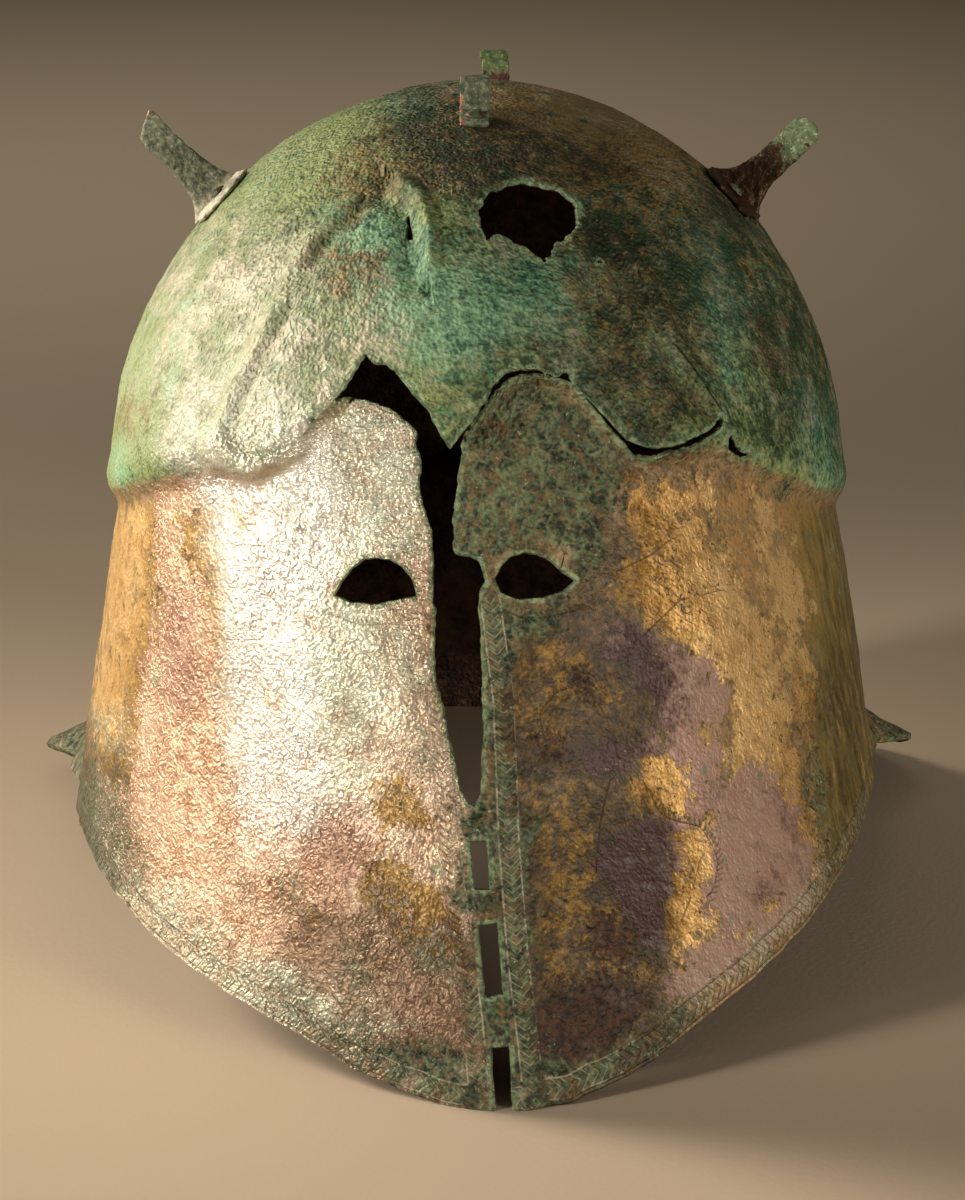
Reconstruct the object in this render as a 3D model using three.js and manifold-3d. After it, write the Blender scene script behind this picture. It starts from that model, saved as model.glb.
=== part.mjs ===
import * as THREE from 'three';
import { mergeVertices } from 'three/addons/utils/BufferGeometryUtils.js';
import Module from 'manifold-3d';

// Apulo-Corinthian helmet: one hammered bronze sheet with two crest clips and two plume horns riveted on.
// Lengths in mm, angles in degrees. Built as worn: height 0 at the step round the head, the face looks along -y.

// Head part, measured at the step
const headHalfWidth = 89.4;
const headFrontReach = 112;
const headBackReach = 116;
const domeHeight = 98;
const domeFullness = 2;

// Sheet
const sheetThickness = 1.2;
const rimThickness = 2.2;
const rimBandShare = 0.93;

// Face and neck below the step
const stepInset = 2.6;
const stepHeight = 5;
const cheekDrop = 124;
const sideFlareShare = 0.155;
const faceSlopeShare = 0.2;
const napeHollow = 6;
const napeHeight = 55;
const prowFullness = 1.6;
const prowHeight = 70;

// Neck guard
const guardFlare = 38;
const guardTop = 38;
const guardHeight = 36;
const guardCurl = 2.2;
const guardReachShares = [[0, 0], [90, 0], [113, 0.4], [121, 0.97], [127, 1], [150, 0.7], [180, 0.53]];

// Old damage: the cheeks lean to the wearer's left and the left side of the rim sits higher
const browShift = 3;
const cheekLean = 14.3;
const leanTop = 22;
const leanCurl = 1.7;
const rimTilt = 4;
const tiltShares = [[0, 1], [105, 1], [138, 0]];

// Rim height by angle from the front, as a share of the cheek drop
const rimShares = [
  [0, 1], [6, 0.99], [14.5, 0.944], [21.5, 0.895], [29, 0.847], [37.6, 0.797], [50, 0.716], [65, 0.625],
  [72, 0.595], [85, 0.577], [97, 0.569], [112, 0.573], [124, 0.592], [148, 0.611], [165, 0.589], [180, 0.577],
];

// Brow line by angle, as a share of the dome height
const browShares = [
  [-90, 0], [-62, 0.03], [-42, 0.08], [-30, 0.118], [-24, 0.107], [-17.5, 0.175], [-13, 0.275], [-10, 0.352],
  [-6.5, 0.327], [-3, 0.26], [0.5, 0.163], [3, 0.225], [6.5, 0.32], [10, 0.337], [14, 0.31], [18, 0.24],
  [21, 0.18], [25, 0.153], [35, 0.163], [42, 0.117], [62, 0.03], [90, 0],
];

// Raised forehead panel: half width, a share of the head's, by height, a share of the dome's
const panelRise = 1.8;
const panelFade = 5;
const panelShares = [[0, 0.66], [0.2, 0.62], [0.34, 0.55], [0.46, 0.49], [0.53, 0.43], [0.62, 0.35], [0.69, 0.26], [0.74, 0]];

// How the helmet stands: on the cheek tips and the neck guard
const restPitch = 11.1;
const groundDrop = 97.5;

// Holes in the front, each outline seen from the front.
// Across: a share of the head's half width. Up: a share of the dome height above 0, of the cheek drop below 0.
const browGapShares = [
  [-0.302, 0.26], [-0.279, 0.297], [-0.262, 0.33], [-0.231, 0.365], [-0.213, 0.348], [-0.182, 0.346],
  [-0.157, 0.331], [-0.132, 0.305], [-0.096, 0.266], [-0.071, 0.241], [-0.047, 0.197], [-0.022, 0.163],
  [0.001, 0.191], [0.03, 0.223], [0.06, 0.266], [0.083, 0.303], [0.107, 0.328], [0.142, 0.334],
  [0.191, 0.331], [0.229, 0.315], [0.258, 0.33], [0.268, 0.312], [0.287, 0.282], [0.311, 0.264],
  [0.334, 0.242], [0.364, 0.208], [0.396, 0.181], [0.432, 0.162], [0.469, 0.156], [0.5, 0.155],
  [0.554, 0.168], [0.592, 0.184], [0.618, 0.198], [0.64, 0.227], [0.637, 0.198], [0.619, 0.179],
  [0.581, 0.161], [0.531, 0.143], [0.481, 0.129], [0.444, 0.126], [0.42, 0.131], [0.383, 0.168],
  [0.362, 0.194], [0.33, 0.228], [0.293, 0.272], [0.277, 0.293], [0.252, 0.303], [0.19, 0.317],
  [0.154, 0.318], [0.121, 0.306], [0.092, 0.283], [0.071, 0.255], [0.047, 0.222], [0.022, 0.187],
  [0.012, 0.158], [0.004, 0.13], [-0.004, 0.07], [-0.011, 0.025], [-0.013, -0.04], [-0.011, -0.057],
  [0.026, -0.06], [0.049, -0.066], [0.061, -0.083], [0.063, -0.1], [0.054, -0.118], [0.052, -0.152],
  [0.056, -0.22], [0.061, -0.305], [0.062, -0.39], [0.058, -0.458], [0.043, -0.485], [0.024, -0.483],
  [0.006, -0.458], [-0.019, -0.39], [-0.044, -0.306], [-0.057, -0.271], [-0.062, -0.203], [-0.058, -0.152],
  [-0.068, -0.135], [-0.066, -0.066], [-0.071, -0.015], [-0.096, 0.047], [-0.1, 0.091], [-0.1, 0.135],
  [-0.112, 0.167], [-0.103, 0.196], [-0.132, 0.221], [-0.157, 0.239], [-0.194, 0.253], [-0.231, 0.264],
  [-0.268, 0.265], [-0.292, 0.258],
];
const browChipShares = [
  [0.65, 0.189], [0.672, 0.161], [0.694, 0.139], [0.733, 0.12], [0.689, 0.114], [0.667, 0.128], [0.656, 0.153],
];
const rightEyeShares = [
  [-0.309, -0.131], [-0.294, -0.108], [-0.266, -0.083], [-0.236, -0.067], [-0.203, -0.063], [-0.168, -0.065],
  [-0.138, -0.077], [-0.113, -0.098], [-0.099, -0.13], [-0.142, -0.135], [-0.203, -0.145], [-0.264, -0.144],
];
const leftEyeShares = [
  [0.083, -0.097], [0.099, -0.075], [0.121, -0.06], [0.157, -0.053], [0.192, -0.057], [0.223, -0.07],
  [0.252, -0.09], [0.283, -0.104], [0.252, -0.123], [0.204, -0.133], [0.146, -0.135], [0.1, -0.123],
];
const upperWindowShares = [[0.026, -0.543], [0.073, -0.542], [0.081, -0.626], [0.04, -0.626]];
const lowerWindowShares = [[0.048, -0.685], [0.1, -0.681], [0.116, -0.802], [0.066, -0.808]];
const slotShares = [[0.081, -0.89], [0.13, -0.886], [0.148, -1.05], [0.093, -1.05]];
const crownHoleShares = [
  [0.026, 0.682], [0.061, 0.728], [0.134, 0.75], [0.221, 0.732], [0.278, 0.694], [0.283, 0.648],
  [0.247, 0.627], [0.199, 0.576], [0.162, 0.604], [0.089, 0.627], [0.058, 0.615], [0.04, 0.649],
];
const crownNickShares = [[-0.149, 0.621], [-0.14, 0.689], [-0.119, 0.621]];

// Round holes: small pits eaten through the sheet and one perforation in each cheek
const pitRadius = 0.7;
const pitPlaces = [[19.1, 55.5], [40.9, 33.4], [-15.8, 21.5]];
const perforationRadius = 1.3;
const perforationPlaces = [[-25.7, -62.7], [26.7, -66.3]];

// Rivets
const shankRadius = 1.2;
const rivetHeadRadius = 2.1;
const rivetHeadHeight = 0.9;
const gap = 0.3;
const finest = 0.01;

// Crest clips: bent strips, each hook facing the other
const clipWidth = 6.6;
const clipStrip = 1.4;
const clipFoot = 8;
const clipHeight = 7.8;
const clipHeightRearShare = 1.2;
const clipHook = 4.6;
const clipLip = 3.4;
const clipLean = 1.6;
const clipFrontAt = -48;
const clipRearAt = 25;
const clipFrontAcross = 1;
const clipRearAcross = 3.4;

// Plume horns: flat blades, each on a foot plate that lies on the dome
const hornFootThickness = 1.4;
const hornFootFront = 13;
const hornFootRear = 7;
const hornFootHalfHeight = 8.4;
const hornBlade = 2.2;
const hornLength = 25;
const hornAngle = 76;
const hornHeightShare = 0.714;
const hornTurnRight = 1;
const hornTurnLeft = -1;
const hornHalfWidth = 3.7;

const hornHeight = domeHeight * hornHeightShare;

const degree = Math.PI / 180;
const mix = (from, to, share) => from + (to - from) * share;
const within = (share) => Math.min(Math.max(share, 0), 1);
const smooth = (share) => within(share) ** 2 * (3 - 2 * within(share));

function readTable(table, at) {
  const last = table.length - 1;
  if (at <= table[0][0]) return table[0][1];
  if (at >= table[last][0]) return table[last][1];
  const next = table.findIndex(([place]) => place > at);
  const [a, b] = [table[next - 1], table[next]];
  return mix(a[1], b[1], (at - a[0]) / (b[0] - a[0]));
}

// Height of the brow line and of the rim at an angle from the front
function browHeight(angle) {
  return domeHeight * readTable(browShares, angle);
}

function rimHeight(angle) {
  const side = Math.abs(angle);
  const tilt = rimTilt * Math.sin(angle * degree) * readTable(tiltShares, side);
  return tilt - cheekDrop * readTable(rimShares, side);
}

// Distance from the head's axis: a dome above 0, flared sides, a pointed front and a hollow nape below
function reach(angle, height) {
  const [along, across] = [Math.cos(angle * degree), Math.sin(angle * degree)];
  const up = within(height / domeHeight);
  const down = Math.max(-height, 0);
  const narrowing = (1 - up ** domeFullness) ** (1 / domeFullness);
  const half = headHalfWidth * narrowing + sideFlareShare * down;
  const front = headFrontReach * narrowing + faceSlopeShare * down;
  const back = headBackReach * narrowing - napeHollow * Math.sin(within(down / napeHeight) * Math.PI);
  const facing = Math.max(along, 0) ** 2;
  const fullness = 2 - (2 - prowFullness) * smooth(down / prowHeight) * facing;
  const long = along > 0 ? front : back;
  const oval = (Math.abs(along) / long) ** fullness + (Math.abs(across) / half) ** fullness;
  const flare = guardFlare * readTable(guardReachShares, Math.abs(angle));
  return oval ** (-1 / fullness) + flare * within((down - guardTop) / guardHeight) ** guardCurl;
}

function lean(angle, height) {
  const down = within((leanTop - height) / (leanTop + cheekDrop));
  const brow = browShift * within((domeHeight * 0.6 - height) / (domeHeight * 0.4));
  return (cheekLean * down ** leanCurl - brow) * Math.max(Math.cos(angle * degree), 0) ** 1.5;
}

function panel(angle, height, distance) {
  const across = Math.abs(distance * Math.sin(angle * degree));
  const edge = headHalfWidth * readTable(panelShares, height / domeHeight);
  return Math.cos(angle * degree) > 0 ? panelRise * smooth((edge - across) / panelFade) : 0;
}

// A point of the outer face; inset is how far it lies inside the dome's line
function skin(angle, height, inset) {
  const plain = reach(angle, height);
  const distance = plain - inset + (inset > 0 ? 0 : panel(angle, height, plain));
  const x = distance * Math.sin(angle * degree) + lean(angle, height);
  return new THREE.Vector3(x, -distance * Math.cos(angle * degree), height);
}

// Outward direction of the dome at a point
function outward(angle, height) {
  const nudge = domeHeight / 1000;
  const turn = 0.1;
  const here = skin(angle, height, 0);
  const round = skin(angle + turn, height, 0).sub(here);
  const rise = skin(angle, height - nudge, 0).sub(here).negate();
  return round.cross(rise).normalize();
}

// Closed mesh from rings of points: a top face and an under face joined along their borders
function closedMesh(top, under, roundTheAxis) {
  const [rings, count] = [top.length, top[0].length];
  const points = [...top.flat(), ...under.flat()];
  const shift = rings * count;
  const faces = [];
  const quad = (a, b, c, d) => faces.push([a, b, c], [a, c, d]);
  const steps = roundTheAxis ? count : count - 1;
  for (let ring = 0; ring + 1 < rings; ring++) {
    for (let i = 0; i < steps; i++) {
      const [a, b] = [ring * count + i, ring * count + ((i + 1) % count)];
      quad(a, a + count, b + count, b);
      quad(shift + a, shift + b, shift + b + count, shift + a + count);
    }
  }
  const border = [];
  const lowest = (rings - 1) * count;
  for (let i = 0; i < steps; i++) border.push([lowest + i, lowest + ((i + 1) % count)]);
  if (!roundTheAxis) {
    for (let ring = rings - 1; ring > 0; ring--) border.push([ring * count + count - 1, (ring - 1) * count + count - 1]);
    for (let i = steps; i > 0; i--) border.push([i, i - 1]);
    for (let ring = 0; ring + 1 < rings; ring++) border.push([ring * count, (ring + 1) * count]);
  }
  for (const [a, b] of border) quad(a, shift + a, shift + b, b);
  const flat = faces.flatMap((face) => {
    const corners = face.map((i) => points[i]);
    const edges = corners.map((p, i) => p.distanceTo(corners[(i + 1) % 3]));
    return Math.min(...edges) > 1e-6 ? corners.flatMap((p) => p.toArray()) : [];
  });
  const geometry = new THREE.BufferGeometry();
  geometry.setAttribute('position', new THREE.Float32BufferAttribute(flat, 3));
  return geometry;
}

const wasm = await Module();
wasm.setup();

function toSolid(geometry) {
  const bare = geometry.index ? geometry.toNonIndexed() : geometry.clone();
  bare.deleteAttribute('normal');
  bare.deleteAttribute('uv');
  const joined = mergeVertices(bare, 1e-4);
  return new wasm.Manifold(new wasm.Mesh({
    numProp: 3,
    vertProperties: new Float32Array(joined.attributes.position.array),
    triVerts: new Uint32Array(joined.index.array),
  }));
}

function toGeometry(solid) {
  const mesh = solid.simplify(finest).getMesh();
  const geometry = new THREE.BufferGeometry();
  geometry.setAttribute('position', new THREE.BufferAttribute(new Float32Array(mesh.vertProperties), 3));
  geometry.setIndex(new THREE.BufferAttribute(new Uint32Array(mesh.triVerts), 1));
  return geometry.toNonIndexed();
}

// Frame on the dome: origin on the outer face, z outward, y up the dome
function seat(angle, height) {
  const up = outward(angle, height);
  const right = new THREE.Vector3(Math.cos(angle * degree), Math.sin(angle * degree), 0);
  right.addScaledVector(up, -right.dot(up)).normalize();
  const matrix = new THREE.Matrix4().makeBasis(right, up.clone().cross(right), up);
  return matrix.setPosition(skin(angle, height, 0));
}

// Angle and height of the dome over a spot given across and along the head
function overhead(across, along) {
  const angle = Math.atan2(across, -along) / degree;
  const wanted = Math.hypot(across, along);
  let [low, high] = [0, domeHeight];
  for (let i = 0; i < 40; i++) {
    const middle = mix(low, high, 0.5);
    if (reach(angle, middle) > wanted) low = middle;
    else high = middle;
  }
  return [angle, low];
}

function bar(radius, from, to) {
  const geometry = new THREE.CylinderGeometry(radius, radius, to - from, 12);
  return geometry.rotateX(Math.PI / 2).translate(0, 0, mix(from, to, 0.5));
}

// Shell: rings from the crown down to the brow line, one at the foot of the step, then down to the rim
const columns = 88;
const domeRings = 10;
const faceRings = 9;
const frontCrowding = 0.35;
const angles = Array.from({ length: columns }, (_, i) => {
  const round = (i / columns) * 2 * Math.PI - Math.PI;
  return (round - frontCrowding * Math.sin(round)) / degree;
});

function shellRings() {
  const rings = [angles.map(() => skin(0, domeHeight, 0).setX(0).setY(0))];
  const thickness = [sheetThickness];
  for (let ring = 1; ring <= domeRings; ring++) {
    rings.push(angles.map((angle) => {
      const lowest = Math.acos(within(browHeight(angle) / domeHeight));
      return skin(angle, domeHeight * Math.cos((lowest * ring) / domeRings), 0);
    }));
    thickness.push(sheetThickness);
  }
  for (let ring = 0; ring <= faceRings; ring++) {
    const share = ring / faceRings;
    rings.push(angles.map((angle) => {
      const height = mix(browHeight(angle) - stepHeight, rimHeight(angle), share);
      return skin(angle, height, stepInset);
    }));
    thickness.push(mix(sheetThickness, rimThickness, smooth((share - rimBandShare) / (1 - rimBandShare))));
  }
  return { rings, thickness };
}

// The inner face lies one sheet thickness inside, square to the surface
function insideOf(rings, thickness) {
  const last = rings.length - 1;
  return rings.map((ring, row) => ring.map((point, i) => {
    if (row === 0) return point.clone().setZ(point.z - thickness[0]);
    const along = ring[(i + 1) % ring.length].clone().sub(ring[(i + ring.length - 1) % ring.length]);
    const above = rings[row - 1][i];
    const below = rings[Math.min(row + 1, last)][i];
    const normal = along.cross(above.clone().sub(below)).normalize();
    return point.clone().addScaledVector(normal, -thickness[row]);
  }));
}

// Cutter through the front wall, from an outline seen from the front
function frontCutter(shares) {
  const spots = shares.map(([across, up]) => new THREE.Vector2(
    across * headHalfWidth,
    up * (up > 0 ? domeHeight : cheekDrop),
  ));
  const near = headFrontReach * 0.3;
  const deep = headFrontReach;
  const geometry = new THREE.ExtrudeGeometry(new THREE.Shape(spots), { depth: deep, bevelEnabled: false });
  return toSolid(geometry.rotateX(Math.PI / 2).translate(0, -near, 0));
}

function roundCutter(radius, place) {
  return toSolid(bar(radius, -headHalfWidth * 0.1, headHalfWidth * 0.1).applyMatrix4(place));
}

function groundCutter() {
  const size = headBackReach * 4;
  const box = new THREE.BoxGeometry(size, size, size).translate(0, 0, -size / 2);
  return toSolid(box.rotateX(restPitch * degree).translate(0, 0, -groundDrop));
}

// Rivet: round head over the foot, shank through foot and sheet, closed head inside
function rivet(plate) {
  const headAt = gap + plate + gap;
  const tailAt = -sheetThickness - 2 * gap;
  const profile = [
    [0, tailAt - rivetHeadHeight], [rivetHeadRadius * 0.7, tailAt - rivetHeadHeight * 0.8],
    [rivetHeadRadius, tailAt], [shankRadius, tailAt], [shankRadius, headAt], [rivetHeadRadius, headAt],
    [rivetHeadRadius * 0.7, headAt + rivetHeadHeight * 0.8], [0, headAt + rivetHeadHeight],
  ];
  const lathe = new THREE.LatheGeometry(profile.map(([r, z]) => new THREE.Vector2(r, z)), 12);
  return lathe.rotateX(Math.PI / 2);
}

// Crest clip in its seat's frame: foot pointing away from the hook, strip up, hook over and a lip down
function clip(rise) {
  const line = [
    [-clipFoot, 0], [0, 0], [clipLean, rise - clipStrip], [clipLean + clipHook, rise - clipStrip],
    [clipLean + clipHook, rise - clipLip],
  ];
  const half = clipStrip / 2;
  const side = (sign) => line.map(([along, up], i) => {
    const before = line[Math.max(i - 1, 0)];
    const after = line[Math.min(i + 1, line.length - 1)];
    const [inA, inU] = i > 0 ? [along - before[0], up - before[1]] : [after[0] - along, after[1] - up];
    const [outA, outU] = i < line.length - 1 ? [after[0] - along, after[1] - up] : [inA, inU];
    const first = new THREE.Vector2(-inU, inA).normalize();
    const second = new THREE.Vector2(-outU, outA).normalize();
    const both = first.clone().add(second);
    both.multiplyScalar((half * sign * 2) / both.lengthSq());
    return new THREE.Vector2(along + both.x, up + half + both.y);
  });
  const outline = [...side(1), ...side(-1).reverse()];
  const strip = new THREE.ExtrudeGeometry(new THREE.Shape(outline), { depth: clipWidth, bevelEnabled: false });
  strip.translate(0, 0, -clipWidth / 2).rotateX(Math.PI / 2).rotateZ(Math.PI / 2).translate(0, 0, gap);
  const hole = bar(shankRadius + gap, -clipStrip, clipStrip * 2).translate(0, -clipFoot / 2, 0);
  return toGeometry(toSolid(strip).subtract(toSolid(hole)));
}

// Foot patch lying on the dome, from one angle and height to another
function footPatch(fromAngle, toAngle, fromHeight, toHeight) {
  const [rows, cells] = [6, 8];
  const grid = (offset) => Array.from({ length: rows + 1 }, (_, row) => Array.from({ length: cells + 1 }, (_, cell) => {
    const angle = mix(fromAngle, toAngle, cell / cells);
    const height = mix(toHeight, fromHeight, row / rows);
    return skin(angle, height, 0).addScaledVector(outward(angle, height), offset);
  }));
  return toSolid(closedMesh(grid(gap + hornFootThickness), grid(gap), false));
}

// Horn blade in its seat's frame: wide at the foot, waisted, rounded or broken at the tip
const bladeShares = [[0.02, 2.25], [0.1, 1.6], [0.22, 1.25], [0.4, 1.03], [0.6, 0.96], [0.85, 1]];
const roundTipShares = [[0.94, 0.82], [0.985, 0.45], [1, 0]];
const brokenTipShares = [[0.98, 0.86], [1, 0.2], [0.94, -0.7]];

function hornBladeSolid(side, turn, tipShares) {
  const spot = ([along, across]) => new THREE.Vector2(across * hornHalfWidth, along * hornLength);
  const left = [...bladeShares].reverse().map(([along, across]) => spot([along, -across]));
  const round = tipShares === roundTipShares
    ? [...tipShares, ...[...tipShares].reverse().slice(1).map(([along, across]) => [along, -across])]
    : tipShares;
  const outline = [...bladeShares.map(spot), ...round.map(spot), ...left];
  const blade = new THREE.ExtrudeGeometry(new THREE.Shape(outline), { depth: hornBlade, bevelEnabled: false });
  blade.translate(0, 0, -hornBlade / 2).rotateX(Math.PI / 2).rotateZ(Math.PI / 2);
  return blade.rotateX(-turn * degree).translate(0, 0, gap).applyMatrix4(seat(side * hornAngle, hornHeight));
}

// The foot plate and the seats of its two rivets, one in front of the blade and one behind it
function hornFoot(side) {
  const turn = (length) => length / reach(hornAngle, hornHeight) / degree;
  const slope = outward(side * hornAngle, hornHeight);
  const rise = hornFootHalfHeight * Math.hypot(slope.x, slope.y);
  const [front, rear] = [hornAngle - turn(hornFootFront), hornAngle + turn(hornFootRear)].map((end) => side * end);
  return {
    plate: footPatch(Math.min(front, rear), Math.max(front, rear), hornHeight - rise, hornHeight + rise),
    rivets: {
      front: seat(mix(side * hornAngle, front, 0.55), hornHeight),
      rear: seat(mix(side * hornAngle, rear, 0.55), hornHeight),
    },
  };
}

const group = new THREE.Group();
group.name = 'apulo_corinthian_helmet';

function add(name, geometry, colour) {
  const material = new THREE.MeshStandardMaterial({ color: colour, metalness: 0.8, roughness: 0.5 });
  const mesh = new THREE.Mesh(geometry, material);
  mesh.name = name;
  group.add(mesh);
}

const { rings, thickness } = shellRings();
let shell = toSolid(closedMesh(rings, insideOf(rings, thickness), true));
const outlines = [
  browGapShares, browChipShares, rightEyeShares, leftEyeShares, upperWindowShares, lowerWindowShares, slotShares,
  crownHoleShares, crownNickShares,
];
for (const outline of outlines) shell = shell.subtract(frontCutter(outline));
for (const [angle, height] of pitPlaces) shell = shell.subtract(roundCutter(pitRadius, seat(angle, height)));
for (const [angle, height] of perforationPlaces) {
  shell = shell.subtract(roundCutter(perforationRadius, seat(angle, height)));
}

const clips = [
  { name: 'crest_clip_front', across: clipFrontAcross, at: clipFrontAt, rise: clipHeight, turn: Math.PI },
  { name: 'crest_clip_rear', across: clipRearAcross, at: clipRearAt, rise: clipHeight * clipHeightRearShare, turn: 0 },
];
for (const { name, across, at, rise, turn } of clips) {
  const place = seat(...overhead(across, at));
  const hole = place.clone().multiply(new THREE.Matrix4().makeTranslation(0, -clipFoot / 2, 0));
  add(name, clip(rise).applyMatrix4(place), '#4a5a3c');
  add(`${name}_rivet`, rivet(clipStrip).applyMatrix4(hole), '#5f6b3e');
  shell = shell.subtract(roundCutter(shankRadius + gap, hole));
}

const horns = [
  { name: 'plume_horn_right', side: -1, turn: hornTurnRight, tip: brokenTipShares },
  { name: 'plume_horn_left', side: 1, turn: hornTurnLeft, tip: roundTipShares },
];
for (const { name, side, turn, tip } of horns) {
  const { plate, rivets } = hornFoot(side);
  let horn = toSolid(hornBladeSolid(side, turn, tip)).add(plate);
  for (const [end, place] of Object.entries(rivets)) {
    horn = horn.subtract(roundCutter(shankRadius + gap, place));
    shell = shell.subtract(roundCutter(shankRadius + gap, place));
    add(`${name}_rivet_${end}`, rivet(hornFootThickness).applyMatrix4(place), '#5f6b3e');
  }
  add(name, toGeometry(horn), '#4f6a4a');
}

add('helmet_shell', toGeometry(shell.subtract(groundCutter())), '#8c7448');

group.rotation.x = -restPitch * degree;
group.updateMatrixWorld(true);
const box = new THREE.Box3().setFromObject(group, true);
group.position.set(-(box.min.x + box.max.x) / 2, -(box.min.y + box.max.y) / 2, -box.min.z);

export default group;
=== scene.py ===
import bpy
import numpy as np
from mathutils import Matrix


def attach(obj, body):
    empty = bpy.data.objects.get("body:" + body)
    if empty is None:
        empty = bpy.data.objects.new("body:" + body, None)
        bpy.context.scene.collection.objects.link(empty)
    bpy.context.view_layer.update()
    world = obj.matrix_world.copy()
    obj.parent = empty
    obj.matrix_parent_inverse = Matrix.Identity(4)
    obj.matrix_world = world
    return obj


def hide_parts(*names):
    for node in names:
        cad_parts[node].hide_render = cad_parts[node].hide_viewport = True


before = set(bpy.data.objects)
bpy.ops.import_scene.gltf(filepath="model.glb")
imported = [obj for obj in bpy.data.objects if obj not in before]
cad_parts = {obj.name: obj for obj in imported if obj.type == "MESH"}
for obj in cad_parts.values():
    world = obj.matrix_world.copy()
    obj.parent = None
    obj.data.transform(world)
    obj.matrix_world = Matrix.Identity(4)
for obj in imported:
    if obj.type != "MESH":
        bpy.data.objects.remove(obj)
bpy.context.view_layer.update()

# Helmet shell: one bronze sheet raised by hammering, a dome over a drawn face with eyes, nasal gap, cheeks and
# neck guard. It is torn along the brow, eaten through at the crown, and crusted green, rosy and plum over gold.
# Sizes are in mm, as worn: height 0 at the step round the head, the face looks along -y, right is -x.
head_half_width, head_front, head_back, dome_height = 89.4, 112.0, 116.0, 98.0
sheet_thickness, rim_thickness, rim_band = 1.2, 2.2, 0.93
step_inset, step_height, cheek_drop = 2.6, 5.0, 124.0
side_flare, face_slope, nape_hollow, nape_height = 0.155, 0.2, 6.0, 55.0
prow_fullness, prow_height = 1.6, 70.0
guard_flare, guard_top, guard_height, guard_curl = 38.0, 38.0, 36.0, 2.2
brow_shift, cheek_lean, lean_top, lean_curl, rim_tilt = 3.0, 14.3, 22.0, 1.7, 4.0
panel_rise, panel_fade = 1.8, 5.0
rest_pitch = np.radians(-11.1)
rest_place = np.array([2.919, 19.944, 95.676])

guard_reach = [(0, 0), (90, 0), (113, 0.4), (121, 0.97), (127, 1), (150, 0.7), (180, 0.53)]
tilt_fade = [(0, 1), (105, 1), (138, 0)]
rim_line = [
    (0, 1), (6, 0.99), (14.5, 0.944), (21.5, 0.895), (29, 0.847), (37.6, 0.797), (50, 0.716), (65, 0.625),
    (72, 0.595), (85, 0.577), (97, 0.569), (112, 0.573), (124, 0.592), (148, 0.611), (165, 0.589),
    (180, 0.577)]
brow_line = [
    (-90, 0), (-62, 0.03), (-42, 0.08), (-30, 0.118), (-24, 0.107), (-17.5, 0.175), (-13, 0.275),
    (-10, 0.352), (-6.5, 0.327), (-3, 0.26), (0.5, 0.163), (3, 0.225), (6.5, 0.32), (10, 0.337), (14, 0.31),
    (18, 0.24), (21, 0.18), (25, 0.153), (35, 0.163), (42, 0.117), (62, 0.03), (90, 0)]
panel_line = [
    (0, 0.66), (0.2, 0.62), (0.34, 0.55), (0.46, 0.49), (0.53, 0.43), (0.62, 0.35), (0.69, 0.26), (0.74, 0)]
rim_wear, wear_radius = ((3.1, 5, 0.35), (8.3, 6, 0.3)), 90


def smooth(share):
    """Ease from 0 to 1: 3s^2 - 2s^3 of the share kept between 0 and 1."""
    share = np.clip(share, 0, 1)
    return share * share * (3 - 2 * share)


def table(at, rows):
    """Straight lines between the rows of a two-column table."""
    places, values = np.array(rows, float).T
    return np.interp(at, places, values)


def reach(angle, height):
    """Distance from the head's axis: an oval whose half axes shrink as a half ellipse towards the crown and
    grow by a slope below the step, pointed in front, plus the neck guard's flare, a power of the depth."""
    along, across = np.cos(np.radians(angle)), np.sin(np.radians(angle))
    up, down = np.clip(height / dome_height, 0, 1), np.maximum(-height, 0)
    narrowing = np.maximum(np.sqrt(1 - up**2), 1e-6)
    half = head_half_width * narrowing + side_flare * down
    front = head_front * narrowing + face_slope * down
    back = head_back * narrowing - nape_hollow * np.sin(np.clip(down / nape_height, 0, 1) * np.pi)
    fullness = 2 - (2 - prow_fullness) * smooth(down / prow_height) * np.maximum(along, 0) ** 2
    length = np.where(along > 0, front, back)
    oval = (np.abs(along) / length) ** fullness + (np.abs(across) / half) ** fullness
    flare = guard_flare * table(np.abs(angle), guard_reach)
    return oval ** (-1 / fullness) + flare * np.clip((down - guard_top) / guard_height, 0, 1) ** guard_curl


def skin(angle, height, inset=0.0):
    """Point of the outer face: out from the axis by reach less the inset, raised by the forehead panel where it
    isn't inset, then shifted sideways by the brow's shift and the cheeks' lean."""
    plain = reach(angle, height)
    forward = np.maximum(np.cos(np.radians(angle)), 0)
    edge = head_half_width * table(height / dome_height, panel_line)
    raised = panel_rise * smooth((edge - np.abs(plain * np.sin(np.radians(angle)))) / panel_fade)
    distance = plain - inset + raised * (forward > 0) * (height > -step_height) * (1 - inset / step_inset)
    down = np.clip((lean_top - height) / (lean_top + cheek_drop), 0, 1)
    brow = brow_shift * np.clip((dome_height * 0.6 - height) / (dome_height * 0.4), 0, 1)
    lean = (cheek_lean * down**lean_curl - brow) * forward**1.5
    return np.stack([distance * np.sin(np.radians(angle)) + lean,
                     -distance * np.cos(np.radians(angle)), height + 0 * angle], -1)


def lumps(points, size, seed):
    """Random swelling between -1 and 1: random values on a cubic lattice of that size, eased between corners."""
    lattice = np.random.default_rng(seed).uniform(-1, 1, (32, 32, 32))
    cell = np.floor(points / size).astype(int)
    ease = smooth(points / size - cell)
    total = np.zeros(len(points))
    for corner in np.ndindex(2, 2, 2):
        share = np.prod(np.where(corner, ease, 1 - ease), axis=1)
        total += share * lattice[tuple(((cell + corner) % 32).T)]
    return total


def heaped(points, layers):
    """Sum of lumps: each layer has a size in mm, a seed and a height."""
    return sum(rise * lumps(points, size, seed) for size, seed, rise in layers)


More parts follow.
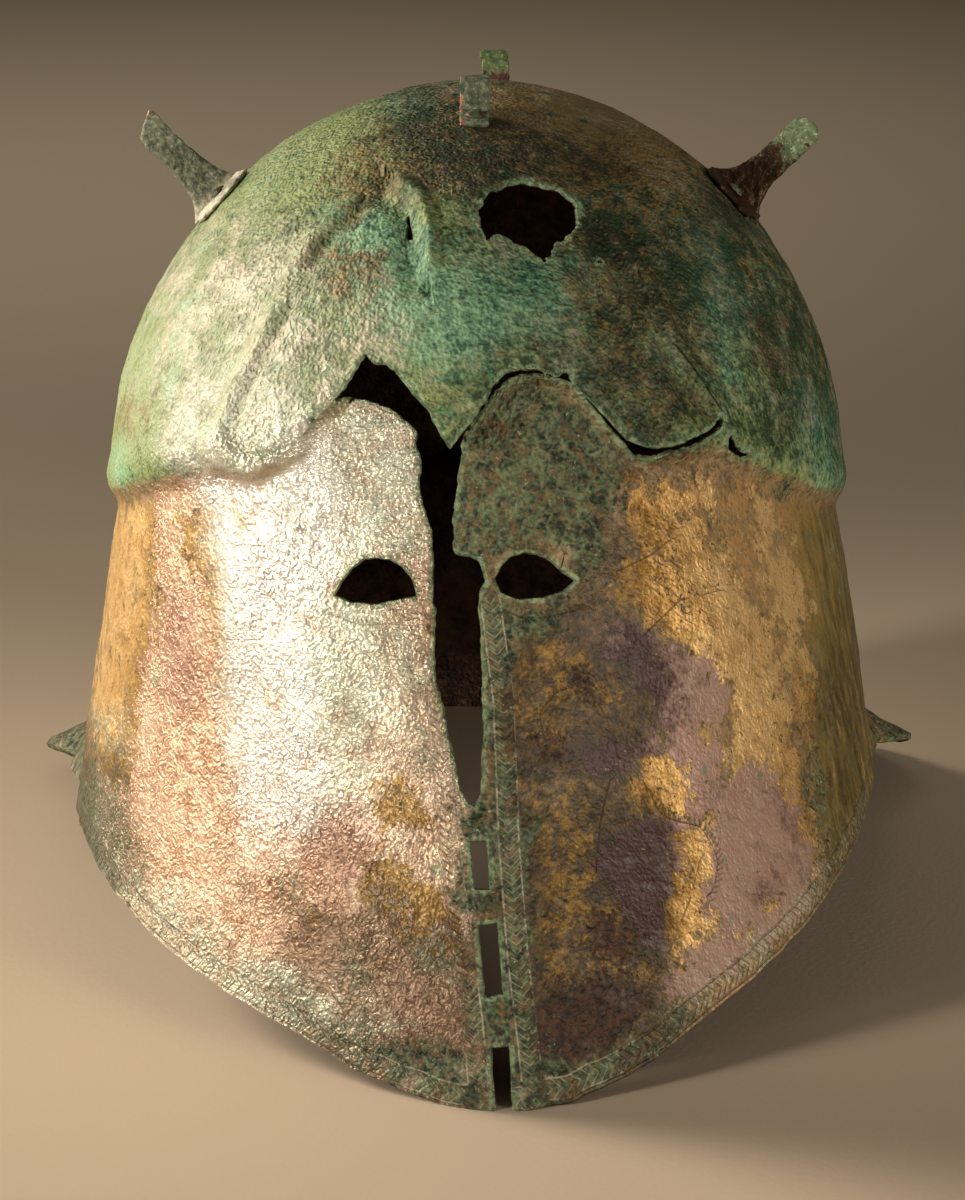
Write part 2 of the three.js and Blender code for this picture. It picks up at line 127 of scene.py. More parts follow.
def beside(spots, line):
    """Signed distance from a line of points, positive on its left, and the length along it: for each segment
    the foot of the spot is kept between its ends, and the nearest segment counts."""
    line = np.array(line, float)
    start, edge = line[:-1], np.diff(line, axis=0)
    length = np.linalg.norm(edge, axis=1)
    rel = spots[:, None] - start
    share = np.clip((rel * edge).sum(-1) / length**2, 0, 1)
    gap = np.linalg.norm(rel - share[..., None] * edge, axis=-1)
    near, row = gap.argmin(1), np.arange(len(spots))
    left = np.sign(edge[near, 0] * rel[row, near, 1] - edge[near, 1] * rel[row, near, 0])
    along = (np.cumsum(length) - length)[near] + (share * length)[row, near]
    return np.where(left < 0, -1, 1) * gap[row, near], along


def rim_height(angle):
    """Height of the rim: the cheek drop by a table of the angle, tilted up on one side, with a worn edge."""
    side = np.abs(angle)
    sin, cos = np.sin(np.radians(angle)), np.cos(np.radians(angle))
    circle = np.stack([wear_radius * sin, wear_radius * cos, 0 * angle], -1)
    tilt = rim_tilt * sin * table(side, tilt_fade)
    return tilt - cheek_drop * table(side, rim_line) + heaped(circle, rim_wear)


def lie(spots):
    """Angle, height and inset of a spot (angle, row): rows 0 to 1 follow the dome's arc down to the brow line,
    rows 1 to 2 run straight down to the rim, set in by the step over its height."""
    angle, row = spots.T
    brow = dome_height * table(angle, brow_line)
    arc = np.arccos(np.clip(brow / dome_height, 0, 1)) * np.clip(row, 0, 1)
    height = np.where(row <= 1, dome_height * np.cos(arc), brow + (rim_height(angle) - brow) * (row - 1))
    return angle, height, step_inset * smooth((brow - height) / step_height)


def outward(spots):
    """Unit normal of the plain skin: the cross product of its slopes along the angle and along the row."""
    spots = np.stack([spots[:, 0], np.clip(spots[:, 1], 0.02, 1.99)], -1)
    around = skin(*lie(spots + [0.4, 0])) - skin(*lie(spots - [0.4, 0]))
    down = skin(*lie(spots + [0, 0.006])) - skin(*lie(spots - [0, 0.006]))
    normal = np.cross(down, around)
    return normal / np.linalg.norm(normal, axis=1, keepdims=True)


# The holes as outlines seen from the front. Across is a share of the head's half width; up is a share of the
# dome's height above the step and of the cheek drop below it.
brow_gap = [
    (-0.302, 0.26), (-0.279, 0.297), (-0.262, 0.33), (-0.231, 0.365), (-0.213, 0.348), (-0.182, 0.346),
    (-0.157, 0.331), (-0.132, 0.305), (-0.096, 0.266), (-0.071, 0.241), (-0.047, 0.197), (-0.022, 0.163),
    (0.001, 0.191), (0.03, 0.223), (0.06, 0.266), (0.083, 0.303), (0.107, 0.328), (0.142, 0.334),
    (0.191, 0.331), (0.229, 0.315), (0.258, 0.33), (0.268, 0.312), (0.287, 0.282), (0.311, 0.264),
    (0.334, 0.242), (0.364, 0.208), (0.396, 0.181), (0.432, 0.162), (0.469, 0.156), (0.5, 0.155),
    (0.554, 0.168), (0.592, 0.184), (0.618, 0.198), (0.64, 0.227), (0.637, 0.198), (0.619, 0.179),
    (0.581, 0.161), (0.531, 0.143), (0.481, 0.129), (0.444, 0.126), (0.42, 0.131), (0.383, 0.168),
    (0.362, 0.194), (0.33, 0.228), (0.293, 0.272), (0.277, 0.293), (0.252, 0.303), (0.19, 0.317),
    (0.154, 0.318), (0.121, 0.306), (0.092, 0.283), (0.071, 0.255), (0.047, 0.222), (0.022, 0.187),
    (0.012, 0.158), (0.004, 0.13), (-0.004, 0.07), (-0.011, 0.025), (-0.013, -0.04), (-0.011, -0.057),
    (0.026, -0.06), (0.049, -0.066), (0.061, -0.083), (0.063, -0.1), (0.054, -0.118), (0.052, -0.152),
    (0.056, -0.22), (0.061, -0.305), (0.062, -0.39), (0.058, -0.458), (0.043, -0.485), (0.024, -0.483),
    (0.006, -0.458), (-0.019, -0.39), (-0.044, -0.306), (-0.057, -0.271), (-0.062, -0.203), (-0.058, -0.152),
    (-0.068, -0.135), (-0.066, -0.066), (-0.071, -0.015), (-0.096, 0.047), (-0.1, 0.091), (-0.1, 0.135),
    (-0.112, 0.167), (-0.103, 0.196), (-0.132, 0.221), (-0.157, 0.239), (-0.194, 0.253), (-0.231, 0.264),
    (-0.268, 0.265), (-0.292, 0.258)]
brow_chip = [
    (0.65, 0.189), (0.672, 0.161), (0.694, 0.139), (0.733, 0.12), (0.689, 0.114), (0.667, 0.128), (0.656, 0.153)]
right_eye = [
    (-0.309, -0.131), (-0.294, -0.108), (-0.266, -0.083), (-0.236, -0.067), (-0.203, -0.063), (-0.168, -0.065),
    (-0.138, -0.077), (-0.113, -0.098), (-0.099, -0.13), (-0.142, -0.135), (-0.203, -0.145), (-0.264, -0.144)]
left_eye = [
    (0.083, -0.097), (0.099, -0.075), (0.121, -0.06), (0.157, -0.053), (0.192, -0.057), (0.223, -0.07),
    (0.252, -0.09), (0.283, -0.104), (0.252, -0.123), (0.204, -0.133), (0.146, -0.135), (0.1, -0.123)]
upper_window = [(0.026, -0.543), (0.073, -0.542), (0.081, -0.626), (0.04, -0.626)]
lower_window = [(0.048, -0.685), (0.1, -0.681), (0.116, -0.802), (0.066, -0.808)]
cheek_slot = [(0.081, -0.89), (0.13, -0.886), (0.148, -1.05), (0.093, -1.05)]
crown_hole = [
    (0.026, 0.682), (0.061, 0.728), (0.134, 0.75), (0.221, 0.732), (0.278, 0.694), (0.283, 0.648),
    (0.247, 0.627), (0.199, 0.576), (0.162, 0.604), (0.089, 0.627), (0.058, 0.615), (0.04, 0.649)]
crown_nick = [(-0.149, 0.621), (-0.14, 0.689), (-0.119, 0.621)]
round_holes = [(19.1, 55.5, 0.7), (40.9, 33.4, 0.7), (-15.8, 21.5, 0.7), (-25.7, -62.7, 1.3), (26.7, -66.3, 1.3)]
torn_holes = brow_gap, brow_chip, crown_hole, crown_nick
cut_holes = right_eye, left_eye, upper_window, lower_window, cheek_slot
edge_wear, cut_wear, fray_lumps = 0.32, 0.35, ((1.15, 8, 1.0), (3.4, 9, 0.9))
eaten_spot, eaten_area, eaten_wear = (14, 60), 150, 1.3
far = 9.0


def outside(spots, corners):
    """Signed distance from a closed outline, negative within it: the nearest edge's distance, with the sign
    from how many edges lie to the right of the spot."""
    start = np.array(corners, float)
    distance = np.full(len(spots), far)
    close = ((spots > start.min(0) - far) & (spots < start.max(0) + far)).all(1)
    x, z = spots[close, None, 0], spots[close, None, 1]
    end = np.roll(start, -1, 0)
    edge = end - start
    share = ((x - start[:, 0]) * edge[:, 0] + (z - start[:, 1]) * edge[:, 1]) / (edge**2).sum(1)
    share = np.clip(share, 0, 1)
    gap = np.hypot(x - start[:, 0] - share * edge[:, 0], z - start[:, 1] - share * edge[:, 1]).min(1)
    rise = np.where(edge[:, 1] == 0, 1, edge[:, 1])
    crossed = ((start[:, 1] > z) != (end[:, 1] > z)) & (x < start[:, 0] + (z - start[:, 1]) * edge[:, 0] / rise)
    distance[close] = np.where(crossed.sum(1) % 2, -gap, gap)
    return distance


def sized(outline):
    """Corners of an outline in mm from shares of the head's half width and of its heights."""
    return [(a * head_half_width, u * (dome_height if u > 0 else cheek_drop)) for a, u in outline]


def clear(place):
    """Distance from the nearest hole's edge, negative where the sheet is gone: the outlines and round holes,
    with the torn ones frayed by lumps, most of all round the eaten spot at the crown."""
    seen = place[:, [0, 2]]
    fray = heaped(place, fray_lumps)
    torn = np.minimum.reduce([outside(seen, sized(line)) for line in torn_holes])
    cut = [outside(seen, sized(line)) for line in cut_holes]
    for angle, height, radius in round_holes:
        cut.append(np.linalg.norm(place - skin(np.array([angle]), np.array([height])), axis=1) - radius)
    ragged = 1 + eaten_wear * np.exp(-((seen - eaten_spot) ** 2).sum(1) / eaten_area)
    distance = np.minimum(torn + edge_wear * ragged * fray, np.minimum.reduce(cut) + edge_wear * cut_wear * fray)
    return np.where(place[:, 1] < 0, np.minimum(distance, far), far)


# Folds of the dome seen from the front, in mm across and up: beside the nick, lapped and creased to the left of
# the crown hole, and the embossed scroll over the right brow. Then the blisters on the right of the forehead.
fold_line = [(-14.6, 73), (-10.4, 70), (-7.6, 64), (-7.0, 55)]
lap_line = [(26.7, 57.0), (30.0, 55.4), (31.1, 50.4), (29.6, 47.2)]
crease_line = [(33, 60), (38.8, 53.6), (46.6, 39.3), (57.2, 22.2), (60, 17)]
volute_line = [
    (-25.5, 68.0), (-32.9, 60.7), (-37.5, 53.2), (-42.5, 43.1), (-47.2, 34.3), (-51.2, 26.8), (-53.2, 19.6),
    (-50.9, 13.8), (-46.1, 11.0), (-40.0, 11.8), (-33.8, 15.4), (-27.8, 20.7), (-23.9, 24.9)]
creases = ((lap_line, 0.9, 1.5, 0.6), (crease_line, 0.6, 1.6, 0.45))
nick_rise, nick_width, nick_hollow, nick_shift, hollow_width = 1.9, 1.7, 1.5, 4.5, 3
scroll_rise, scroll_width, groove_shift, groove_width = 1.35, 1.8, 2.2, 1.7
scroll_shift, scroll_even, scroll_lumps = 0.8, 0.8, ((11, 4, 0.35),)
blisters = [(-38, 3, 6, 7), (-31, 0, 4, 5), (-35, -4, 3, 4)]
blister_rise = 0.9
hammering = ((33, 1, 0.55), (14, 2, 0.28), (6.5, 3, 0.1))
roll_rise, roll_middle, roll_width, roll_from, roll_fade = 0.9, 3.2, 3.2, 14, 12
lip_rise, lip_angle, lip_width = 0.9, -36, 16
sunk_spot, sunk_depth, sunk_radius, sunk_squeeze = (15, 59), 1.8, 9, 1.3


def bump(offset, width):
    """A rounded swelling of height 1: e to the minus square of the offset over the width."""
    return np.exp(-((offset / width) ** 2))


def dents(place, angle, height):
    """How far the hammered sheet stands off its plain skin: broad and hammer-sized lumps, a brow rolled over and
    thicker on the right, folds with hollows beside them, and a sunken edge below the crown hole."""
    seen, front = place[:, [0, 2]], place[:, 1] < 0
    plain = heaped(place, hammering)
    above = height - dome_height * table(angle, brow_line)
    roll = roll_rise * bump(above - roll_middle, roll_width) * smooth((np.abs(angle) - roll_from) / roll_fade)
    roll = roll * (1 + lip_rise * bump(angle - lip_angle, lip_width))
    fold = beside(seen, fold_line)[0]
    folds = nick_rise * bump(fold, nick_width) - nick_hollow * bump(fold + nick_shift, hollow_width)
    for line, high, wide, low in creases:
        across = beside(seen, line)[0]
        folds += high * bump(across, wide) - low * bump(np.abs(across) - 2.2 * wide, 1.4 * wide)
    fold = beside(seen, volute_line)[0]
    ridge = scroll_rise * bump(fold + scroll_shift, scroll_width)
    folds += (scroll_even + heaped(place, scroll_lumps)) * (ridge - bump(fold - groove_shift, groove_width))
    hole = np.hypot(seen[:, 0] - sunk_spot[0], (seen[:, 1] - sunk_spot[1]) * sunk_squeeze)
    return plain + roll + (folds - sunk_depth * bump(hole, sunk_radius)) * front


# The grid: columns crowded at the face, fewer towards the crown, and finer triangles along the holes.
columns, crowding = 320, 0.4
dome_rows, face_rows, quarter_rows, half_rows = 58, 56, 11, 22


def woven():
    """Spots (angle, row) and triangles of the sheet: rings from the crown to the rim, whose number of columns
    doubles twice on the way down."""
    counts = [columns // (4 if ring < quarter_rows else 2 if ring < half_rows else 1)
              for ring in range(1, dome_rows + face_rows + 1)]
    spots, faces, above, first = [np.zeros((1, 2))], [], None, 1
    for ring, count in enumerate(counts, 1):
        turn = np.arange(count) / count * 2 * np.pi - np.pi
        row = ring / dome_rows if ring <= dome_rows else 1 + (ring - dome_rows) / face_rows
        spots.append(np.stack([np.degrees(turn - crowding * np.sin(turn)), np.full(count, row)], -1))
        low, after = np.arange(count), (np.arange(count) + 1) % count
        if above is None:
            faces.append(np.stack([0 * low, first + low, first + after], -1))
        elif above[1] == count:
            high = above[0] + low
            nigh = above[0] + after
            faces += [np.stack([high, first + low, first + after], -1), np.stack([high, first + after, nigh], -1)]
        else:
            few = np.arange(above[1])
            high, nigh = above[0] + few, above[0] + (few + 1) % above[1]
            left, middle, right = first + 2 * few, first + 2 * few + 1, first + (2 * few + 2) % count
            thirds = ((high, left, middle), (high, middle, nigh), (nigh, middle, right))
            faces += [np.stack(three, -1) for three in thirds]
        above, first = (first, count), first + count
    return np.concatenate(spots), np.concatenate(faces)


def edges_of(faces, count):
    """Each triangle's three edges as numbers of a list of unique edges, and that list of point pairs."""
    ends = np.sort(faces[:, [[0, 1], [1, 2], [2, 0]]], axis=-1)
    keys, back = np.unique(ends[..., 0] * count + ends[..., 1], return_inverse=True)
    return back.reshape(-1, 3), np.stack([keys // count, keys % count], -1)


def refine(spots, faces, marked):
    """Halves every edge of the marked triangles, and splits each triangle by which of its edges were halved."""
    sides, pairs = edges_of(faces, len(spots))
    halved = np.zeros(len(pairs), bool)
    halved[sides[marked].ravel()] = True
    middle = np.where(halved, np.cumsum(halved) - 1 + len(spots), -1)[sides]
    number = halved[sides].sum(1)
    pair = np.where(number == 2, ((middle < 0).argmax(1) + 1) % 3, 0)
    lone = np.where(number == 1, (middle >= 0).argmax(1), pair)
    turn = (np.arange(3) + lone[:, None]) % 3
    a, b, c = np.take_along_axis(faces, turn, 1).T
    ab, bc, ca = np.take_along_axis(middle, turn, 1).T
    one, two, three = number == 1, number == 2, number == 3
    parts = [faces[number == 0]]
    for which, corners in (
            (one, (a, ab, c)), (one, (ab, b, c)), (two, (ab, b, bc)), (two, (a, ab, bc)), (two, (a, bc, c)),
            (three, (a, ab, ca)), (three, (b, bc, ab)), (three, (c, ca, bc)), (three, (ab, bc, ca))):
        parts.append(np.stack(corners, -1)[which])
    return np.concatenate([spots, spots[pairs[halved]].mean(1)]), np.concatenate(parts)


def trim(spots, faces, value):
    """Cuts the triangles along value 0 and keeps the part above it: each crossed edge gets a point where its
    value falls to 0, shared by both its triangles."""
    sides, pairs = edges_of(faces, len(spots))
    keep = value >= 0
    crossed = keep[pairs[:, 0]] != keep[pairs[:, 1]]
    upper = np.where(keep[pairs[:, 0]], pairs[:, 0], pairs[:, 1])
    new = crossed & (value[upper] > 0)
    point = np.where(new, np.cumsum(new) - 1 + len(spots), upper)
    share = (value[pairs[new, 0]] / (value[pairs[new, 0]] - value[pairs[new, 1]]))[:, None]
    spots = np.concatenate([spots, spots[pairs[new, 0]] * (1 - share) + spots[pairs[new, 1]] * share])
    kept = keep[faces].sum(1)
    odd = np.where(kept == 1, keep[faces].argmax(1), np.where(kept == 2, (~keep[faces]).argmax(1), 0))
    turn = (np.arange(3) + odd[:, None]) % 3
    a, b, c = np.take_along_axis(faces, turn, 1).T
    ab, bc, ca = np.take_along_axis(point[sides], turn, 1).T
    one, two = kept == 1, kept == 2
    faces = np.concatenate([faces[kept == 3], np.stack([a, ab, ca], -1)[one],
                            np.stack([ab, b, c], -1)[two], np.stack([ab, c, ca], -1)[two]])
    real = (faces != np.roll(faces, 1, 1)).all(1)
    return spots, faces[real]


def largest(faces, count):
    """The triangles of the largest connected part: every point takes its neighbours' lowest number until none
    changes."""
    label = np.arange(count)
    while True:
        low = label.copy()
        np.minimum.at(low, faces.ravel(), np.repeat(label[faces].min(1), 3))
        low = low[low]
        if (low == label).all():
            break
        label = low
    return faces[label[faces[:, 0]] == np.bincount(label[faces[:, 0]]).argmax()]


def stand(place):
    """Metres in the rest frame from mm as worn: pitched back about the side to side axis and set on the floor."""
    x, y, z = np.asarray(place, float).T
    cos, sin = np.cos(rest_pitch), np.sin(rest_pitch)
    return (np.stack([x, y * cos - z * sin, y * sin + z * cos], -1) + rest_place) / 1000


# Triangles near a hole's edge are split twice and those along the folds once; then points close to an edge move
# onto it, down the slope of the distance, and the sheet is cut there.
fold_band, near_edge = 5.0, 0.16
step = np.array([[0.1, 0.0], [0.0, 0.001]])
per_mm = np.array([1 / 1.9, 1 / 130])
spots, faces = woven()
for width, along_folds in ((3.0, True), (1.1, False)):
    plain = skin(*lie(spots))
    gap = np.abs(clear(plain))
    if along_folds:
        folds = fold_line, lap_line, crease_line, volute_line
        to_fold = np.minimum.reduce([np.abs(beside(plain[:, [0, 2]], line)[0]) for line in folds])
        gap = np.where((plain[:, 1] < 0) & (to_fold < fold_band), 0, gap)
    spots, faces = refine(spots, faces, gap[faces].min(1) < width)
free = clear(skin(*lie(spots)))
near = np.flatnonzero(np.abs(free) < near_edge)
slope = [(clear(skin(*lie(spots[near] + way))) - free[near]) / way.sum() for way in step]
slope = np.stack(slope, -1) * per_mm
spots[near] -= free[near, None] * slope / np.maximum((slope**2).sum(1), 0.3)[:, None] * per_mm
free[near] = 0
spots, faces = trim(spots, faces, free)
faces = largest(faces, len(spots))
used, faces = np.unique(faces, return_inverse=True)
spots, faces = spots[used], faces.reshape(-1, 3)

angle, height, inset = lie(spots)
normal = outward(spots)
plain = skin(angle, height, inset)
outer = plain + normal * dents(plain, angle, height)[:, None]
edge_gap = clear(plain)
down_face = smooth((spots[:, 1] - 1 - rim_band) / (1 - rim_band))
thickness = sheet_thickness + (rim_thickness - sheet_thickness) * down_face
inner = outer - normal * thickness[:, None]
crust_lumps, bare_edge, edge_round = ((2.3, 11, 0.16), (1.2, 12, 0.09)), 1.5, 0.22
crust = heaped(plain, crust_lumps)
blistered = blister_rise * sum(bump(plain[:, 0] - x, w) * bump(plain[:, 2] - z, h) for x, z, w, h in blisters)
crust += blistered * (plain[:, 1] < 0) * np.clip(lumps(plain, 2.6, 13) * 2, -0.3, 0.8)
outer += normal * (crust * smooth(edge_gap / bare_edge))[:, None]


def walled(faces, outer, inner, normal):
    """Closes a sheet: the inner face is the outer one turned round, and along each free edge a wall of two
    strips joins them over a row of points pushed out to round it."""
    count = len(outer)
    one = faces.ravel()
    two = np.roll(faces, -1, 1).ravel()
    free = ~np.isin(one * count + two, two * count + one)
    one, two = one[free], two[free]
    rim = np.unique(one)
    away = np.zeros((count, 3))
    side = np.cross(outer[two] - outer[one], normal[one])
    np.add.at(away, one, side)
    np.add.at(away, two, side)
    away = away[rim] / np.maximum(np.linalg.norm(away[rim], axis=1, keepdims=True), 1e-9)
    thick = np.linalg.norm(outer[rim] - inner[rim], axis=1, keepdims=True)
    middle = (outer[rim] + inner[rim]) / 2 + away * thick * edge_round
    place = np.full(count, -1)
    place[rim] = np.arange(len(rim)) + 2 * count
    rows = [(one, two), (place[one], place[two]), (one + count, two + count)]
    walls = []
    for (a, b), (c, d) in zip(rows, rows[1:]):
        walls += [np.stack([b, a, c], -1), np.stack([b, c, d], -1)]
    return np.concatenate([outer, inner, middle]), np.concatenate([faces, faces[:, ::-1] + count, *walls]), rim


points, triangles, rim_points = walled(faces, outer, inner, normal)

# Where each finish lies on the front, as outlines in mm across and up. The number before an outline widens it.
gold_patches = [
    (0, [(-87, -4), (-72, 1), (-71, -3), (-72, -13), (-71, -21), (-71, -31), (-75, -37), (-76, -45), (-77, -56),
        (-80, -66), (-86, -67), (-90, -59), (-93, -43), (-90, -23), (-88, -8)]),
    (-2, [(-69, 0), (-55, 4), (-44, 3), (-43, -3), (-48, -7), (-47, -13), (-50, -19), (-51, -28), (-50, -39),
        (-46, -45), (-52, -47), (-56, -40), (-58, -29), (-59, -18), (-66, -12)]),
    (-1, [(-44, -37), (-37, -37), (-31, -39), (-26, -44), (-29, -48), (-35, -45), (-41, -43), (-46, -41)]),
    (0, [(-20, -58), (-16, -55), (-12, -53), (-9, -57), (-7, -61), (-5, -65), (-8, -66), (-12, -65), (-14, -68),
        (-17, -66)]),
    (1, [(-19, -75), (-15, -72), (-11, -75), (-7, -77), (-4, -79), (-1, -83), (1, -89), (-4, -91), (-9, -90),
        (-13, -89), (-17, -84), (-21, -80)]),
    (0, [(-35, -86), (-28, -85), (-25, -87), (-27, -90), (-32, -89)]),
    (-1, [(34, 11), (39, 12), (42, 8), (48, 9), (54, 7), (57, 3), (56, -4), (59, -11), (63, -14), (66, -20),
        (70, -30), (73, -42), (75, -53), (76, -64), (73, -66), (70, -59), (65, -54), (62, -54), (59, -49), (59, -42),
        (57, -37), (52, -33), (49, -29), (44, -27), (41, -23), (37, -20), (33, -18), (30, -15), (33, -11), (36, -6),
        (34, 1), (35, 6)]),
    (0, [(64, 5), (69, 2), (73, -8), (76, -17), (78, -31), (80, -45), (77, -54), (75, -44), (72, -30), (68, -18),
        (65, -7)]),
    (-1, [(11, -27), (15, -25), (22, -26), (28, -29), (33, -32), (37, -37), (34, -42), (30, -46), (27, -50),
        (22, -51), (16, -52), (12, -46), (11, -38)]),
    (-1, [(13, -51), (22, -52), (27, -54), (30, -58), (30, -67), (30, -73), (32, -79), (36, -86), (39, -92),
        (44, -98), (41, -101), (33, -99), (26, -101), (20, -99), (17, -93), (15, -80), (13, -67)]),
    (1, [(44, -68), (48, -68), (52, -69), (55, -74), (54, -80), (54, -85), (57, -90), (61, -92), (58, -94),
        (54, -91), (50, -93), (46, -91), (44, -86), (44, -78), (47, -73)]),
    (0, [(39, -52), (45, -51), (50, -54), (54, -61), (51, -66), (45, -66), (39, -64), (36, -59)]),
    (1, [(57, -51), (63, -52), (69, -54), (73, -51), (76, -57), (77, -66), (78, -78), (79, -82), (76, -79),
        (75, -73), (72, -65), (67, -61), (63, -62), (59, -58)]),
    (1, [(67, -79), (72, -78), (75, -80), (72, -84), (70, -87), (67, -83)]),
]
plum_patches = [
    (0, [(32, -22), (39, -22), (43, -27), (48, -29), (55, -34), (59, -40), (58, -44), (55, -48), (49, -48),
        (43, -47), (40, -42), (38, -38), (39, -34), (35, -32), (32, -27)]),
    (0, [(26, -49), (33, -46), (42, -47), (51, -48), (57, -52), (59, -58), (57, -63), (52, -60), (50, -55),
        (45, -52), (39, -54), (35, -57), (30, -54), (27, -53)]),
    (1, [(52, -55), (58, -59), (65, -58), (69, -60), (73, -65), (75, -74), (76, -81), (73, -85), (69, -86),
        (64, -90), (60, -93), (57, -91), (54, -87), (55, -79), (56, -73), (54, -68), (51, -64), (50, -59)]),
    (1, [(33, -67), (38, -66), (44, -67), (48, -67), (47, -72), (44, -78), (44, -83), (44, -87), (43, -92),
        (39, -91), (37, -86), (34, -80), (31, -76), (30, -72)]),
    (0, [(52, -92), (60, -93), (66, -91), (73, -86), (80, -82), (77, -89), (68, -96), (60, -101), (52, -104),
        (45, -102), (48, -96)]),
]
soil_patches = [
    (0, [(16, -101), (22, -98), (31, -97), (39, -100), (43, -104), (37, -109), (31, -113), (24, -119), (19, -121),
        (15, -120), (14, -109)]),
    (-1, [(27, -82), (35, -85), (39, -90), (37, -95), (31, -94), (26, -88)]),
    (-1, [(14, -44), (21, -44), (27, -48), (22, -52), (15, -51)]),
    (-2, [(21, -30), (28, -29), (31, -37), (28, -42), (22, -38)]),
    (-2, [(-12, -115), (-4, -110), (3, -113), (3, -121), (-6, -121)]),
]
plate_patches = [
    (1, [(0, 28), (8, 31), (17, 31), (25, 28), (30, 19), (34, 10), (33, 0), (29, -10), (22, -8), (18, -6), (9, -7),
        (2, -8), (-1, -5), (0, 9)]),
    (0, [(5, -15), (11, -18), (18, -19), (23, -17), (18, -25), (12, -28), (10, -38), (11, -51), (11, -66), (8, -66),
        (6, -46), (5, -29)]),
    (2, [(9, -65), (12, -70), (13, -80), (14, -92), (16, -109), (18, -121), (13, -122), (12, -109), (10, -92),
        (8, -80)]),
    (2, [(0, -61), (8, -60), (13, -65), (13, -76), (14, -80), (9, -81), (5, -78), (0, -79), (3, -71), (2, -67)]),
    (1, [(3, -97), (11, -97), (12, -109), (7, -110), (3, -107)]),
    (0, [(-18, -113), (-8, -110), (3, -111), (8, -113), (8, -124), (-3, -124), (-13, -122)]),
    (0, [(17, -113), (31, -113), (39, -109), (50, -106), (44, -112), (31, -119), (20, -123)]),
    (-2, [(60, 16), (70, 12), (76, 3), (72, -4), (66, 4), (62, 8)]),
    (-1, [(77, -54), (81, -59), (85, -66), (84, -79), (81, -80), (79, -71), (76, -62)]),
]
streaks_patches = [
    (0, [(75, -1), (87, -5), (90, -19), (92, -38), (97, -60), (105, -76), (94, -72), (88, -78), (84, -83), (82, -78),
        (80, -63), (80, -45), (78, -27), (76, -13)]),
]
copper_patches = [
    (2, [(-74, 9), (-52, 16), (-28, 24), (-9, 24), (-6, -8), (-7, -38), (-2, -55), (3, -65), (2, -92), (5, -113),
        (-3, -121), (-17, -121), (-35, -112), (-54, -105), (-72, -95), (-83, -83), (-87, -71), (-78, -55), (-75, -36),
        (-70, -21), (-71, -8)]),
]
rosy_patches = [
    (0, [(-35, -57), (-26, -58), (-19, -62), (-17, -71), (-20, -78), (-26, -82), (-33, -79), (-37, -71)]),
    (0, [(-49, -54), (-37, -46), (-28, -52), (-31, -61), (-42, -62)]),
    (-1, [(-35, -90), (-21, -92), (-4, -93), (3, -103), (1, -111), (-12, -115), (-26, -110), (-37, -102)]),
    (0, [(-68, -19), (-59, -20), (-58, -38), (-62, -49), (-70, -44), (-70, -30)]),
]
# Pale crust on the dome's lit left, with painted sheen in its colour.
pale_and_sheen_patches = [
    (2, [(-70, 53), (-59, 61), (-47, 62), (-37, 58), (-38, 47), (-29, 50), (-17, 48), (-12, 42), (-20, 37),
        (-26, 32), (-27, 26), (-36, 14), (-49, 11), (-64, 14), (-70, 24), (-71, 39)]),
]
olive_patches = [
    (1, [(-30, 72), (-28, 79), (-21, 84), (-9, 86), (-2, 84), (11, 86), (21, 85), (30, 81), (35, 75), (28, 73),
        (16, 75), (8, 72), (1, 71), (-8, 72), (-15, 71), (-21, 70), (-26, 67)]),
    (0, [(24, 62), (30, 66), (36, 61), (39, 54), (44, 47), (41, 42), (34, 42), (31, 38), (26, 43), (23, 49),
        (24, 56)]),
    (-1, [(30, 41), (39, 41), (45, 36), (52, 27), (53, 23), (43, 18), (37, 20), (32, 28), (27, 34)]),
    (-1, [(39, 55), (46, 49), (52, 40), (56, 31), (52, 30), (45, 38), (40, 45)]),
    (-2, [(-33, 59), (-25, 61), (-18, 58), (-18, 49), (-25, 45), (-31, 47)]),
    (-2, [(-83, 24), (-76, 27), (-74, 19), (-79, 13), (-88, 14)]),
    (-1, [(64, 41), (70, 42), (74, 36), (72, 28), (67, 30)]),
    (-1, [(53, 74), (61, 71), (68, 61), (61, 62), (54, 67)]),
]
teal_patches = [
    (0, [(-30, 66), (-19, 70), (-14, 67), (-5, 58), (4, 56), (13, 53), (21, 49), (18, 41), (5, 34), (-6, 32),
        (-15, 36), (-18, 43), (-27, 49), (-30, 58)]),
    (-1, [(4, 56), (12, 58), (24, 58), (30, 52), (28, 41), (17, 38), (8, 47)]),
    (-1, [(50, 62), (57, 62), (63, 47), (61, 25), (56, 29), (52, 47)]),
    (-2, [(-89, 12), (-80, 15), (-76, 6), (-78, 3), (-85, 1)]),
    (-1, [(76, 28), (86, 22), (89, -2), (80, 1), (76, 14)]),
]
